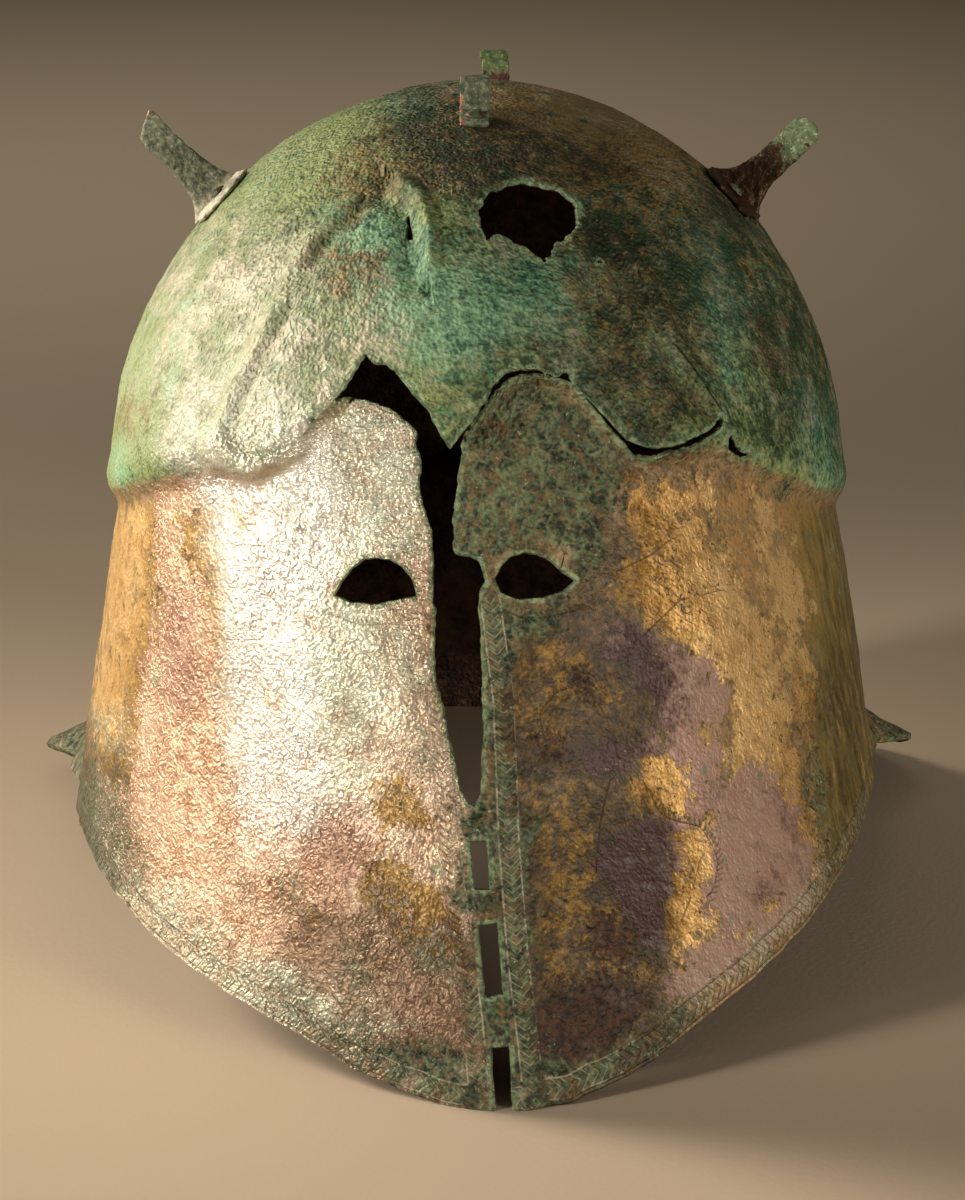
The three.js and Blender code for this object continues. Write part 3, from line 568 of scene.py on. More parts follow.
mint_patches = [
    (0, [(-34, -14), (-20, -13), (-15, -30), (-21, -46), (-34, -42), (-39, -27)]),
    (1, [(-27, 23), (-22, 25), (-13, 23), (-10, 20), (-9, 9), (-6, -4), (-7, -9), (-13, -8), (-19, -7), (-28, -9),
        (-31, 0), (-29, 11)]),
    (-1, [(-16, -19), (-8, -19), (-6, -27), (-4, -38), (-1, -50), (-4, -54), (-9, -53), (-14, -49), (-16, -38),
        (-18, -28)]),
    (2, [(-97, -74), (-90, -64), (-82, -67), (-76, -79), (-67, -88), (-54, -96), (-37, -102), (-25, -107),
        (-17, -112), (-21, -120), (-35, -112), (-49, -107), (-72, -96), (-86, -86), (-93, -78)]),
    (1, [(31, -115), (39, -107), (52, -102), (66, -95), (78, -85), (86, -76), (94, -71), (88, -79), (75, -91),
        (61, -102), (50, -109), (39, -113)]),
    (0, [(-40, -81), (-35, -79), (-35, -83), (-39, -84)]),
    (0, [(-28, -91), (-20, -91), (-18, -99), (-23, -103), (-28, -98)]),
    (0, [(-10, -90), (-1, -90), (0, -96), (-6, -98), (-11, -95)]),
    (0, [(-53, -35), (-47, -35), (-47, -45), (-51, -47)]),
    (-1, [(-95, -51), (-78, -46), (-77, -59), (-84, -65), (-91, -61)]),
    (0, [(-19, -110), (-13, -111), (-12, -116), (-18, -116)]),
    (-1, [(-53, -77), (-45, -78), (-46, -85), (-52, -84)]),
]
# Soft spots on the front: mm across and up, half width, half height, strength. The dark ones deepen the colour, as
# darker patina and as painted shade on the viewer's right and the dome's top right, or, below 0, lighten it as
# painted light on the lit left; the rubbed ones are metal with a painted highlight, the bloom ones pale bloom with
# painted highlight, orange is red copper, hatch is hatched.
dark_and_shade_spots = [
    (24, -36, 13, 18, 0.9), (40, 0, 13, 15, 0.3), (24, 92, 30, 18, 1.3), (60, 80, 28, 26, 1.2),
    (84, 30, 12, 30, 0.75), (52, 50, 30, 34, 0.3), (28, -84, 18, 20, 1.1), (42, -78, 9, 12, 0.7),
    (28, -43, 10, 7, 0.5), (-10, -106, 26, 14, 1.2), (-22, -100, 16, 12, 0.8), (-28, -92, 22, 16, 0.4),
    (84, -48, 9, 28, 0.5), (-20, -66, 12, 10, 0.3), (12, 40, 16, 14, 0.2), (-12, 34, 14, 12, -0.4),
    (22, 24, 22, 12, 0.3), (-90, -76, 12, 14, 0.8), (-84, -28, 8, 34, -0.35), (64, -38, 13, 34, -0.6),
    (51, -82, 7, 14, -0.9), (56, -4, 16, 12, -0.5), (78, -12, 7, 20, -0.8), (-30, 8, 16, 16, -0.25),
    (-68, 44, 20, 30, -0.4), (-84, 20, 12, 30, -0.4), (-38, 84, 18, 14, -0.4), (42, -6, 10, 9, 0.5),
    (40, -36, 10, 10, 0.35), (22, 88, 26, 12, 1.3), (30, -112, 16, 14, 0.9), (18, -50, 9, 12, 0.7),
    (-76, -80, 14, 16, 0.4), (-38, -72, 14, 12, 0.35), (-44, -105, 18, 9, -0.5), (66, -100, 20, 10, -0.5)]
# Rubbed metal on the lit left cheek and brow, with a near white painted highlight laid on its colour.
rubbed_highlight_spots = [
    (-42, -30, 10, 28, 0.9), (-40, 0, 13, 13, 1.0), (-50, 17, 14, 10, 1.0), (-38, -58, 10, 14, 0.35),
    (-48, 34, 16, 22, 0.4)]
# Pale bloom with painted highlight, laid only on the lit left of the face and dome.
bloom_and_highlight_spots = [
    (-27, 6, 15, 15, 0.8), (-30, -30, 9, 18, 0.8), (-19, -32, 9, 14, 0.5), (-40, -104, 22, 7, 0.4),
    (-66, -90, 16, 7, 0.4), (-27, -50, 8, 10, 0.5), (-80, 22, 10, 12, 0.5), (-62, 44, 18, 20, 0.5)]
orange_spots = [
    (-66, -24, 11, 26, 1.0), (-64, -62, 18, 24, 0.9), (-58, -2, 14, 10, 0.6), (-50, -84, 22, 14, 0.8),
    (-40, -76, 12, 10, 0.7)]
hatch_spots = [(-25, -71, 9, 8, 1.0), (-12, -72, 6, 11, 1.0), (22, -74, 7, 11, 1.0), (48, -18, 9, 9, 0.8)]


def laid(place, rows):
    """Sum of soft oval spots on the front: each is its strength at its middle and fades to nothing at twice
    its size."""
    x, y, z = place.T
    total = sum(s * smooth((2 - np.hypot((x - cx) / w, (z - cz) / h)) / 1.6) for cx, cz, w, h, s in rows)
    return total * smooth((spots_end - y) / spots_fade)


def within(place, patches):
    """Mm inside the nearest of several outlines seen from the front, negative outside all of them."""
    return np.max([widened - outside(place[:, [0, 2]], corners) for widened, corners in patches], axis=0)


spots_end, spots_fade, back_start, back_fade, patch_swing, share_swing = 35, 20, -12, 30, 9, 14
seen, front = plain[:, [0, 2]], plain[:, 1] < 0
behind = smooth((plain[:, 1] - back_start) / back_fade)


def worn_on(patches, size, seed, share_behind):
    """Mm inside a finish: its outlines on the front, and random patches of a size in mm on the back."""
    back_part = heaped(plain, ((size, seed, 1), (size / 2, seed + 1, 0.5))) * patch_swing
    back_part = back_part + (share_behind - 0.5) * share_swing
    return np.clip(within(plain, patches) * (1 - behind) + back_part * behind, -far, far)


# Each worn finish has outlines, and on the back a size in mm, a seed and a share that it covers. The plates also
# lie on the guard's corners, the dome's green ends at the brow, and a green edge runs along every hole.
worn_finishes = {
    "copper": (copper_patches, 34, 21, 0.25), "gold": (gold_patches, 22, 23, 0.4),
    "plum": (plum_patches, 19, 25, 0.25), "soil": (soil_patches, 15, 27, 0.12),
    "plate": (plate_patches, 24, 29, 0.35), "streaks": (streaks_patches, 27, 31, 0.4),
    "rosy": (rosy_patches, 21, 33, 0.3), "mint": (mint_patches, 17, 35, 0.4),
    "pale": (pale_and_sheen_patches, 40, 37, 0.15), "olive": (olive_patches, 20, 39, 0.3),
    "teal": (teal_patches, 24, 41, 0.4)}
spotted_finishes = {
    "dark": dark_and_shade_spots, "rubbed_highlight": rubbed_highlight_spots, "orange": orange_spots, "bloom_and_highlight": bloom_and_highlight_spots, "hatch": hatch_spots}
crust_above_brow, guard_crust, green_edge = 1.5, 99, 2.2
finishes = {title: worn_on(*way) for title, way in worn_finishes.items()}
finishes.update({title: laid(plain, rows) for title, rows in spotted_finishes.items()})
finishes["plate"] = np.maximum(finishes["plate"], np.minimum(np.abs(plain[:, 0]) - guard_crust, far))
finishes["dome"] = np.clip(height - dome_height * table(angle, brow_line) + crust_above_brow, -far, far)
finishes["fold"] = np.where(front, np.clip(beside(seen, volute_line)[0], -far, far), far)
finishes["edge"] = smooth(1 - edge_gap / green_edge)

# Incised lines: herringbone borders along the gap, the slot and the rim, ticks under the eyes, and the worn
# outlines of two boars on the cheeks, of which only stretches are left.
right_border = [(6.6, -16.7), (9.6, -37.9), (10.8, -65.3), (13.1, -92.4), (15.3, -109.0), (16.9, -123)]
left_border = [(-4.6, -37.9), (-2.0, -65.3), (-0.2, -79.9), (1.4, -90.3), (3.4, -104.9), (5.2, -123)]
rim_border = 3.0
ticked_lines = [
    [(41.6, -60.7), (44.0, -64.8), (48.0, -66.7), (52.2, -68.1), (55.1, -72.5), (56.3, -75.8), (56.0, -80.0),
     (54.7, -83.0)],
    [(-28, -20.5), (-21.6, -22.4), (-15.0, -22.0), (-9.5, -20.6)],
    [(8.8, -18.2), (13.1, -20.4), (18.4, -20.6), (24.9, -19.4)]]
plain_lines = [
    [(52.4, -75.3), (50.2, -83.4), (45.8, -93.3), (41.4, -98.9)],
    [(-49.2, -6.7), (-42.1, -6.6), (-35.1, -9.1), (-29.4, -12.0)],
    [(-43.3, -38.1), (-37.4, -38.7), (-31.7, -41.5), (-27.1, -45.5)],
    [(-44, -39.9), (-37.8, -40.4), (-32.4, -43.1), (-28, -47)],
    [(-50.4, -27.7), (-44.4, -27.2)], [(-45.6, -16.3), (-40.9, -18.1), (-37.4, -22.2)],
    [(34.6, -11.1), (41.2, -8.3), (45.6, -5.3)], [(39.0, -26.5), (47.8, -18.5), (56.9, -17.1)],
    [(21.7, -36.2), (17.5, -40.3), (18.6, -46.7)], [(32.6, -56.2), (30.5, -64.5), (29.4, -74.8)],
    [(21.9, -70.1), (22.4, -80.5)]]
crack_lines = [[(46.6, 37.2), (50.0, 33.2), (53.3, 28.2), (57.2, 22.2)], [(22.0, -9.8), (22.3, -7.7)]]
line_reach, border_top, border_fade, rim_radius, rim_side, per_degree = 4, -8, 14, 105, 92, 1.85


def nearest(ways):
    """Of several (across, along) pairs, the one that is least far across at each spot."""
    across, along = np.stack([way[0] for way in ways]), np.stack([way[1] for way in ways])
    pick = np.abs(across).argmin(0)[None]
    return np.take_along_axis(across, pick, 0)[0], np.take_along_axis(along, pick, 0)[0]


def lines(pair, shown=1.0):
    """Across, along and how strongly a set of lines shows near it, as one vector for each point."""
    return np.stack([pair[0], pair[1], (np.abs(pair[0]) < line_reach) * shown * front], -1)


rim_slope = (rim_height(angle + 2) - rim_height(angle - 2)) / (4 * np.radians(1) * rim_radius)
to_rim = (height - rim_height(angle)) / np.hypot(1, rim_slope)
rim_way = np.where(np.abs(angle) < rim_side, rim_border - to_rim, -far), angle * per_degree
right_way = beside(seen, right_border)
border = nearest([(-right_way[0], right_way[1]), beside(seen, left_border), rim_way])
incised = {"borders": lines(border, smooth((border_top - plain[:, 2]) / border_fade))}
for title, ways in (("ticks", ticked_lines), ("drawn", plain_lines), ("splits", crack_lines)):
    incised[title] = lines(nearest([beside(seen, line) for line in ways]))


def spread(values):
    """Values of the outer points carried to the inner points and to the rounded edge between them."""
    return np.concatenate([values, values, values[rim_points]])


def built(name, points, triangles, values=()):
    """A mesh object from points in metres and triangles, with a number or a vector for each point by name."""
    mesh = bpy.data.meshes.new(name)
    mesh.vertices.add(len(points))
    mesh.vertices.foreach_set("co", np.asarray(points, np.float32).ravel())
    mesh.loops.add(3 * len(triangles))
    mesh.loops.foreach_set("vertex_index", np.asarray(triangles, np.int32).ravel())
    mesh.polygons.add(len(triangles))
    mesh.polygons.foreach_set("loop_start", np.arange(0, 3 * len(triangles), 3, dtype=np.int32))
    mesh.update(calc_edges=True)
    mesh.validate()
    mesh.shade_smooth()
    mesh.set_sharp_from_angle(angle=np.radians(48))
    for title, value in dict(values).items():
        kind, field = ("FLOAT", "value") if np.ndim(value) == 1 else ("FLOAT_VECTOR", "vector")
        mesh.attributes.new(title, kind, "POINT").data.foreach_set(field, np.asarray(value, np.float32).ravel())
    piece = bpy.data.objects.new(name, mesh)
    bpy.context.scene.collection.objects.link(piece)
    return piece


finishes = {title: spread(value) for title, value in {**finishes, **incised}.items()}
finishes["inside"] = np.concatenate([np.zeros(len(outer)), np.ones(len(outer)), np.full(len(rim_points), 0.35)])
placed = stand(points)
placed[:, 2] = np.maximum(placed[:, 2], 0)
shell = built("shell_sheet", placed, triangles, finishes)


class Value:
    """A socket of a material. Sums and products of values add Math nodes, and node() adds any other node."""

    def __init__(self, tree, socket=None):
        self.tree, self.socket = tree, socket

    def node(self, kind, sockets=(), out=0, **settings):
        """A new node: its settings first, then the value or link of each socket."""
        made = self.tree.nodes.new("ShaderNode" + kind)
        for name, setting in settings.items():
            setattr(made, name, setting)
        for name, value in dict(sockets).items():
            if isinstance(value, Value):
                self.tree.links.new(value.socket, made.inputs[name])
            else:
                made.inputs[name].default_value = value
        return Value(self.tree, made.outputs[out])

    def math(self, operation, *others):
        """A Math node on this value and the others."""
        return self.node("Math", enumerate((self, *others)), operation=operation)

    def __add__(self, other):
        return self.math("ADD", other)

    def __sub__(self, other):
        return self.math("SUBTRACT", other)

    def __rsub__(self, other):
        return self.node("Math", {0: other, 1: self}, operation="SUBTRACT")

    def __mul__(self, other):
        return self.math("MULTIPLY", other)

    def __truediv__(self, other):
        return self.math("DIVIDE", other)

    def __abs__(self):
        return self.math("ABSOLUTE")

    __radd__, __rmul__ = __add__, __mul__

    def share(self, low, high):
        """0 below low, 1 above high, eased between."""
        sockets = {"Value": self, "From Min": low, "From Max": high}
        return self.node("MapRange", sockets, interpolation_type="SMOOTHSTEP")

    def over(self, under, colour):
        """The colour laid over another where this value is 1."""
        colour = colour if isinstance(colour, Value) else (*colour, 1)
        under = under if isinstance(under, Value) else (*under, 1)
        return self.node("Mix", {0: self, 6: under, 7: colour}, out=2, data_type="RGBA")

    def blend(self, low, high, dark, light):
        """From a dark to a light colour as this value rises from low to high."""
        return self.share(low, high).over(dark, light)

    def stroke(self, half_width, full=1.0):
        """A line where this value is 0: 1 in its middle, 0 from half its width outwards."""
        return (1 - abs(self) / half_width).share(0, full)

    def teeth(self, step, sharp):
        """A tooth in the middle of every step of this value: 1 at its tip, thinner the sharper."""
        return (1 - abs((self / step).math("FRACT") - 0.5) * sharp).share(0, 1)


def coated(colour, *coats):
    """A colour under several coats in turn: each is a mask and the colour that shows where the mask is 1."""
    for mask, coat in coats:
        colour = mask.over(colour, coat)
    return colour


noise_spread = 4.4


class Finish(Value):
    """A material's tree with the grain of old bronze at hand, in the place of the piece itself."""

    def __init__(self, name):
        self.material = bpy.data.materials.new(name)
        self.material.use_nodes = True
        super().__init__(self.material.node_tree)
        self.shader = self.tree.nodes["Principled BSDF"]
        self.place = self.node("TexCoord", out="Object")

    def moved(self, shift):
        """The place shifted sideways in metres, so that two noises of one size differ."""
        if not shift:
            return self.place
        return self.node("Mapping", {"Vector": self.place, "Location": (shift, shift, 0)})

    def grain(self, size, detail=2.0, rough=0.5, bend=0.0, shift=0.0):
        """Noise from 0 to 1 with lumps of about that size in mm."""
        sockets = {"Vector": self.moved(shift), "Scale": 1000 / size}
        sockets.update({"Detail": detail, "Roughness": rough, "Distortion": bend})
        return self.node("TexNoise", sockets)

    def sway(self, size, detail=2.0, rough=0.5, bend=0.0, shift=0.0):
        """The same noise spread about 0, mostly between -1 and 1."""
        return (self.grain(size, detail, rough, bend, shift) - 0.5) * noise_spread

    def of(self, name):
        """The number that each point of the mesh carries under that name."""
        return self.node("Attribute", attribute_name=name, out="Fac")

    def parts(self, vector):
        """The three numbers of a vector."""
        split = self.node("SeparateXYZ", {0: vector})
        return [Value(self.tree, socket) for socket in split.socket.node.outputs]

    def three(self, name):
        """The three numbers of a vector attribute."""
        return self.parts(self.node("Attribute", attribute_name=name, out="Vector"))

    def pits(self, size, shift=0.0):
        """Distance in cells from the nearest of scattered points about that size in mm apart."""
        return self.node("TexVoronoi", {"Vector": self.moved(shift), "Scale": 1000 / size}, out="Distance")

    def finish(self, piece, colour, metal, rough, height, depth=1.0):
        """Links colour, metal, roughness and a height in mm to the shader and puts the material on the piece."""
        for name, value in (("Base Color", colour), ("Metallic", metal), ("Roughness", rough)):
            if isinstance(value, Value):
                self.tree.links.new(value.socket, self.shader.inputs[name])
            else:
                self.shader.inputs[name].default_value = value
        relief = self.node("Bump", {"Height": height, "Strength": depth, "Distance": 0.001})
        self.tree.links.new(relief.socket, self.shader.inputs["Normal"])
        piece.data.materials.clear()
        piece.data.materials.append(self.material)


# Sizes of the marks in the material, in mm: streaks, the scroll's line, the borders and the hatching.
streak_size, streak_squeeze, fold_half = 3.0, 0.16, 1.9
border_half, chevron_step, tick_step, hatch_per_metre = 2.15, 1.8, 1.2, 620
sheet = Finish("bronze_sheet")
of = sheet.of
wide, mid = sheet.sway(17), sheet.sway(5.5, 3, 0.6)
small, fine = sheet.sway(2.0, 3, 0.65, 0.5), sheet.sway(0.85, 4, 0.7)
wide_b, mid_b = sheet.sway(14, shift=0.3), sheet.sway(4.6, 3, 0.6, shift=0.3)
small_b, fine_b = sheet.sway(1.5, 3, 0.65, 0.4, 0.3), sheet.sway(0.65, 3, 0.7, shift=0.6)
lump, bead = sheet.sway(3.2, 1, 0.5, 0.3, 0.1), sheet.sway(1.4, 1, 0.5, 0.5, 0.4)
dot = sheet.sway(0.8, 0.5, shift=0.8)
vein, crinkle = abs(sheet.sway(1.7, 1.2, 0.5, 0.6, 0.2)), abs(sheet.sway(1.15, 0.5, 0.5, 0.5, 0.5))
foil = (vein * 0.75 + crinkle * 0.5 - 0.45) * (0.4 + 0.8 * (wide_b + mid * 0.7).share(-0.9, 0.7))
crumb = bead * 0.6 + dot * 0.35 + (0.3 - abs(lump)) * 0.9

# Where each finish shows, from 0 to 1: its place on the sheet with a ragged edge.
ragged = wide * 1.5 + mid * 2.4 + small * 1.9 + fine * 0.9
ragged_b = wide_b * 1.5 + mid_b * 2.4 + small_b * 1.9 + fine_b * 0.9
ragged_c = wide_b * 1.5 - mid * 2.2 + small_b * 1.8 - fine * 0.8
inside = of("inside")
# Darker patina together with painted shade on the viewer's right and the dome's top right; below 0, painted light on
# the lit left.
dark = of("dark") + wide_b * 0.15 + mid_b * 0.1
# Rubbed metal with a painted highlight: the colour is whitened, the roughness lowered.
rubbed_highlight = (of("rubbed_highlight") + wide * 0.12 + mid_b * 0.08).share(0.02, 1)
# Pale bloom and painted highlight on the lit left.
bloom_and_highlight = (of("bloom_and_highlight") + wide_b * 0.12 + mid * 0.15 + small * 0.1).share(0.05, 0.95)
orange = (of("orange") + wide_b * 0.3 + mid * 0.25 + small * 0.1).share(0.15, 0.9)
dome = (of("dome") + ragged_b * 0.5).share(-1.2, 1.4)
copper = (of("copper") + ragged * 1.1).share(-3, 3)
rosy = (of("rosy") + ragged_b * 1.3).share(-3, 4)
gold = (of("gold") + ragged_b * 1.25).share(-1.0, 1.2)
worn_through = (small_b * 0.8 + fine * 0.5 + mid * 0.45 + dark * 0.5).share(0.5, 0.85)
bare = gold * (1 - worn_through * (0.85 - 0.5 * copper))
plum = (of("plum") + ragged * 1.25).share(-0.9, 1.1)
soil = (of("soil") + ragged_b * 1.4).share(-1.5, 2.5)
streaks = (of("streaks") + ragged * 1.2).share(-3, 3)
plate = (of("plate") + ragged_c * 1.4).share(-1.2, 1.6)
mint = (of("mint") + ragged_c * 1.8).share(-2, 4)
# Pale crust with painted sheen on the dome's lit left.
pale = (of("pale") + ragged * 1.5).share(-10, 8)
pale = pale * (0.35 + 0.65 * (mid_b * 0.8 + wide * 0.6 + small * 0.3).share(-0.8, 0.5))
olive = (of("olive") + ragged_b * 1.7).share(-5, 4)
teal = (of("teal") + ragged_c * 1.5).share(-5, 5)
shaded = (dark + mid * 0.15).share(0.2, 0.9) * (1 - copper)

# The brown ground, the gold where the bronze is bare, the copper and plum skins, and the streaked rear cheek.
brown = coated(
    (small * 0.6 + mid * 0.4 + fine * 0.3 - dark * 0.5).blend(-0.9, 0.9, (0.06, 0.042, 0.02), (0.30, 0.20, 0.09)),
    ((small_b * 0.7 + mid_b * 0.6 + fine * 0.4 - dark * 0.4).share(0.0, 0.5), (0.37, 0.21, 0.075)),
    ((small - mid * 0.4 + fine_b * 0.4).share(0.9, 1.2), (0.09, 0.13, 0.07)))

along_height = sheet.node("Mapping", {"Vector": sheet.place, "Scale": (1, 1, streak_squeeze)})
drawn_out = {"Vector": along_height, "Scale": 1000 / streak_size, "Detail": 5.0, "Roughness": 0.7}
grainy = (sheet.node("TexNoise", drawn_out) - 0.5) * noise_spread
streaked = coated(
    (grainy - dark * 0.5).blend(-0.9, 0.9, (0.06, 0.045, 0.014), (0.27, 0.185, 0.05)),
    ((grainy * 0.6 + mid * 0.8).share(0.4, 0.9), (0.09, 0.135, 0.055)),
    ((grainy * 0.7 - mid * 0.6).share(0.4, 0.9), (0.40, 0.25, 0.065)),
    ((grainy * 0.5 + small * 0.6).share(0.8, 1.1), (0.035, 0.03, 0.012)))

# Tone falls as the dark spots rise, so it carries their painted shade and painted light.
tone = wide * 0.45 + mid_b * 0.6 + small * 0.5 + fine * 0.4 - dark * 1.3
boar_gold = (tone * 0.7 + small_b * 0.4).blend(-0.9, 0.7, (0.14, 0.075, 0.015), (0.44, 0.27, 0.085))
# Gold darkened where the dark spots lie: darker patina and painted shade.
shaded_gold = (mid_b * 0.7 + small * 0.6).blend(-0.6, 0.8, (0.035, 0.018, 0.003), (0.27, 0.145, 0.012))
gilt = coated(
    (tone + 0.25).blend(-1.0, 0.8, (0.17, 0.075, 0.004), (0.57, 0.34, 0.12)),
    ((tone - 0.15).share(0, 0.8), (0.64, 0.41, 0.17)),
    (copper, boar_gold),
    ((small - mid_b * 0.6 + fine * 0.7).share(0.1, 1.0) * 0.6, (0.22, 0.11, 0.03)),
    ((small_b + mid * 0.7 + fine_b * 0.6 + dark * 0.6).share(0.42, 0.82), (0.075, 0.042, 0.015)),
    ((grainy * 0.6 + small * 0.6).share(0.6, 1.0) * (of("gold") + 9).share(0, 1) * 0.6, (0.19, 0.13, 0.05)),
    (shaded * gold * 0.85, shaded_gold))

rosed = coated(
    (wide * 0.6 + mid * 0.5 + small_b * 0.15).blend(-1.1, 1.1, (0.36, 0.23, 0.145), (0.73, 0.56, 0.41)),
    (orange * (0.35 + 0.5 * (mid + wide_b * 0.5).share(-0.9, 0.6)),
     (mid_b + small * 0.4).blend(-1, 1, (0.50, 0.26, 0.14), (0.86, 0.55, 0.38))),
    ((mid_b - wide * 0.3 + small * 0.3).share(0.2, 1.0) * 0.6, (0.82, 0.66, 0.42)),
    (rosy * 0.7, (mid_b + small * 0.5).blend(-1, 1, (0.24, 0.115, 0.085), (0.54, 0.32, 0.235))),
    # Hollows of the copper's crinkles darkened: dirt and painted shade.
    ((0.05 - foil).share(0.1, 0.5) * 0.45, (0.17, 0.085, 0.045)),
    ((mid + small * 0.6 - wide_b * 0.4).share(0.7, 1.1) * 0.6, (0.24, 0.33, 0.19)),
    (dark.share(0.1, 1.3) * 0.85, small.blend(-0.8, 0.8, (0.09, 0.05, 0.025), (0.22, 0.14, 0.08))))

purple = coated(
    (tone + mid * 0.3).blend(-1.1, 0.7, (0.05, 0.016, 0.013), (0.33, 0.20, 0.145)),
    ((small + mid_b * 0.6 + fine * 0.4).share(0.85, 1.2), (0.13, 0.12, 0.07)),
    ((fine_b + small_b * 0.8).share(0.9, 1.3), (0.40, 0.24, 0.13)))

# The crusts: the dome's green with its pale, olive and teal fields, the mossy plates, the mint and the soil.
beige = coated(
    (crumb * 0.7 + wide * 0.5 + mid_b * 0.5).blend(-1.5, 1.2, (0.16, 0.21, 0.12), (0.52, 0.45, 0.31)),
    ((wide_b + mid_b * 0.7 + small * 0.4).share(0.0, 1.2) * 0.45, (0.62, 0.42, 0.34)),
    ((mid - wide_b * 0.8 + small_b * 0.3).share(0.2, 1.1) * 0.6, (0.19, 0.35, 0.21)))
umber = coated(
    (small * 0.8 + mid * 0.6 + fine * 0.5 - dark * 0.9).blend(-1, 1, (0.012, 0.012, 0.005), (0.23, 0.155, 0.045)),
    ((small_b + mid_b * 0.5).share(0.55, 1.0), (0.10, 0.13, 0.045)))
blue_green = (crumb * 0.9 + fine * 0.4 + mid * 0.4 - dark * 1.3).blend(
    -1.5, 1.3, (0.014, 0.065, 0.034), (0.25, 0.47, 0.27))
sage = coated(
    (mid * 0.5 + crumb * 0.7 + small * 0.3 - dark * 1.4).blend(
        -1.1, 1.1, (0.016, 0.032, 0.010), (0.24, 0.29, 0.105)),
    ((small_b + mid_b * 0.6 + wide * 0.3).share(0.3, 0.9), (0.055, 0.18, 0.08)),
    ((fine * 0.7 + small_b * 0.5 - dark).share(0.9, 1.3), (0.34, 0.42, 0.20)),
    ((mid_b * 0.8 - small * 0.7 + fine_b * 0.4 + dark * 0.5).share(0.7, 1.1), (0.155, 0.10, 0.03)),
    (teal * 0.8, blue_green),
    (pale * (0.72 + 0.28 * (small_b + mid * 0.7 + fine * 0.3).share(-1.1, 0.9)), beige),
    (olive * (0.30 + 0.62 * (small + mid_b * 0.8).share(-0.8, 0.5)), umber),
    (teal * (fine_b * 0.8 + small_b * 0.7).share(0.95, 1.35), (0.36, 0.45, 0.26)))
moss = coated(
    (crumb * 0.8 + mid * 0.5 + fine * 0.2).blend(-0.9, 1.1, (0.008, 0.018, 0.008), (0.19, 0.24, 0.115)),
    ((mid_b + small_b * 0.6 + bead * 0.4).share(0.0, 0.7) * 0.8,
     small.blend(-0.8, 0.8, (0.06, 0.03, 0.014), (0.22, 0.13, 0.05))),
    ((small_b - mid * 0.3 + fine_b * 0.5).share(0.8, 1.15), (0.24, 0.40, 0.24)))
minty = coated(
    (crumb * 0.8 + mid_b * 0.4 - dark * 1.5).blend(-1, 1, (0.09, 0.115, 0.06), (0.46, 0.42, 0.29)),
    ((mid - small_b * 0.6).share(0.4, 1.0) * 0.7, (0.45, 0.27, 0.17)))
earth = (small + fine * 0.5).blend(-1, 1, (0.012, 0.008, 0.005), (0.085, 0.034, 0.018))
cavity = coated(
    (mid + small * 0.6).blend(-1, 1, (0.022, 0.011, 0.007), (0.12, 0.06, 0.035)),
    ((mid_b + wide * 0.6).share(0.6, 1.3), (0.06, 0.09, 0.05)))

veil = (mid * 0.6 + wide * 0.5 + small_b * 0.4 + fine * 0.25).share(0.1, 0.9)
veil = veil * (0.5 - dark.share(0.2, 0.9) * 0.45) * (1 - copper)
# Painted shade: an olive brown band just under the rolled brow.
brow_shade = (of("dome") + 3.4).share(0, 2.0) * (1.6 - of("dome")).share(0, 2.0) * (wide + mid * 0.6).share(-1.2, 0.4)
# Painted shade in the groove beside the embossed scroll, and a painted highlight on its crest.
scroll_shade = (of("fold") - 2.2 + small * 0.25).stroke(fold_half) * (mid_b + wide * 0.5).share(-1.3, -0.1)
crest = (of("fold") + 0.4).stroke(fold_half) * (mid_b + small * 0.5).share(-0.8, 0.5)
flecks = (small_b * 0.9 - mid_b * 0.6 - wide * 0.4).share(1.25, 1.5) * (1 - dome)
flecks = flecks + (0.1 - sheet.pits(11, 0.4) + small * 0.06 + fine * 0.04).share(0, 0.05) * plum * 0.6
verdant = (of("edge") + small * 0.25 + mid * 0.2).share(0.55, 0.95)
colour = coated(
    brown,
    (streaks * 0.95, streaked),
    (copper, rosed),
    (shaded * 0.8, (small + mid_b * 0.6).blend(-0.8, 1.0, (0.022, 0.012, 0.002), (0.10, 0.05, 0.006))),
    (bare, gilt),
    (veil, small.blend(-0.8, 0.8, (0.075, 0.05, 0.024), (0.23, 0.16, 0.09))),
    (plum, purple),
    (mint * (small_b * 0.4 + mid * 0.7).share(-0.9, 0.5) * 0.8, minty),
    (soil * 0.92, earth),
    (plate * (mid_b + small * 0.8).share(-1.2, 0.0), moss),
    (dome, sage),
    # Pale greenish white: bloom with painted highlight on the lit left.
    (bloom_and_highlight * (0.76 - 0.58 * dome) * (mid * 0.8 + wide * 0.5).share(-1.2, 0.8), (0.76, 0.80, 0.62)),
    # Near white painted highlight over the rubbed metal, strongest on the tops of the crinkles.
    (rubbed_highlight * (0.62 - 0.36 * dome) * (mid * 0.6 + wide_b * 0.5 + foil * 0.6).share(-1.2, 0.2), (0.95, 0.90, 0.82)),
    # Painted shade under the rolled brow.
    (brow_shade * 0.55, (small + fine).blend(-1, 1, (0.09, 0.06, 0.025), (0.36, 0.28, 0.14))),
    # Painted shade and painted highlight of the scroll.
    (scroll_shade * 0.36, (0.13, 0.13, 0.05)),
    (crest * 0.4, (0.42, 0.40, 0.22)),
    (flecks.math("MINIMUM", 0.85), (0.10, 0.19, 0.11)),
    (verdant * 0.7, (small + fine).blend(-1, 1, (0.04, 0.075, 0.035), (0.27, 0.35, 0.19))),
    (inside.share(0.5, 0.9), cavity))

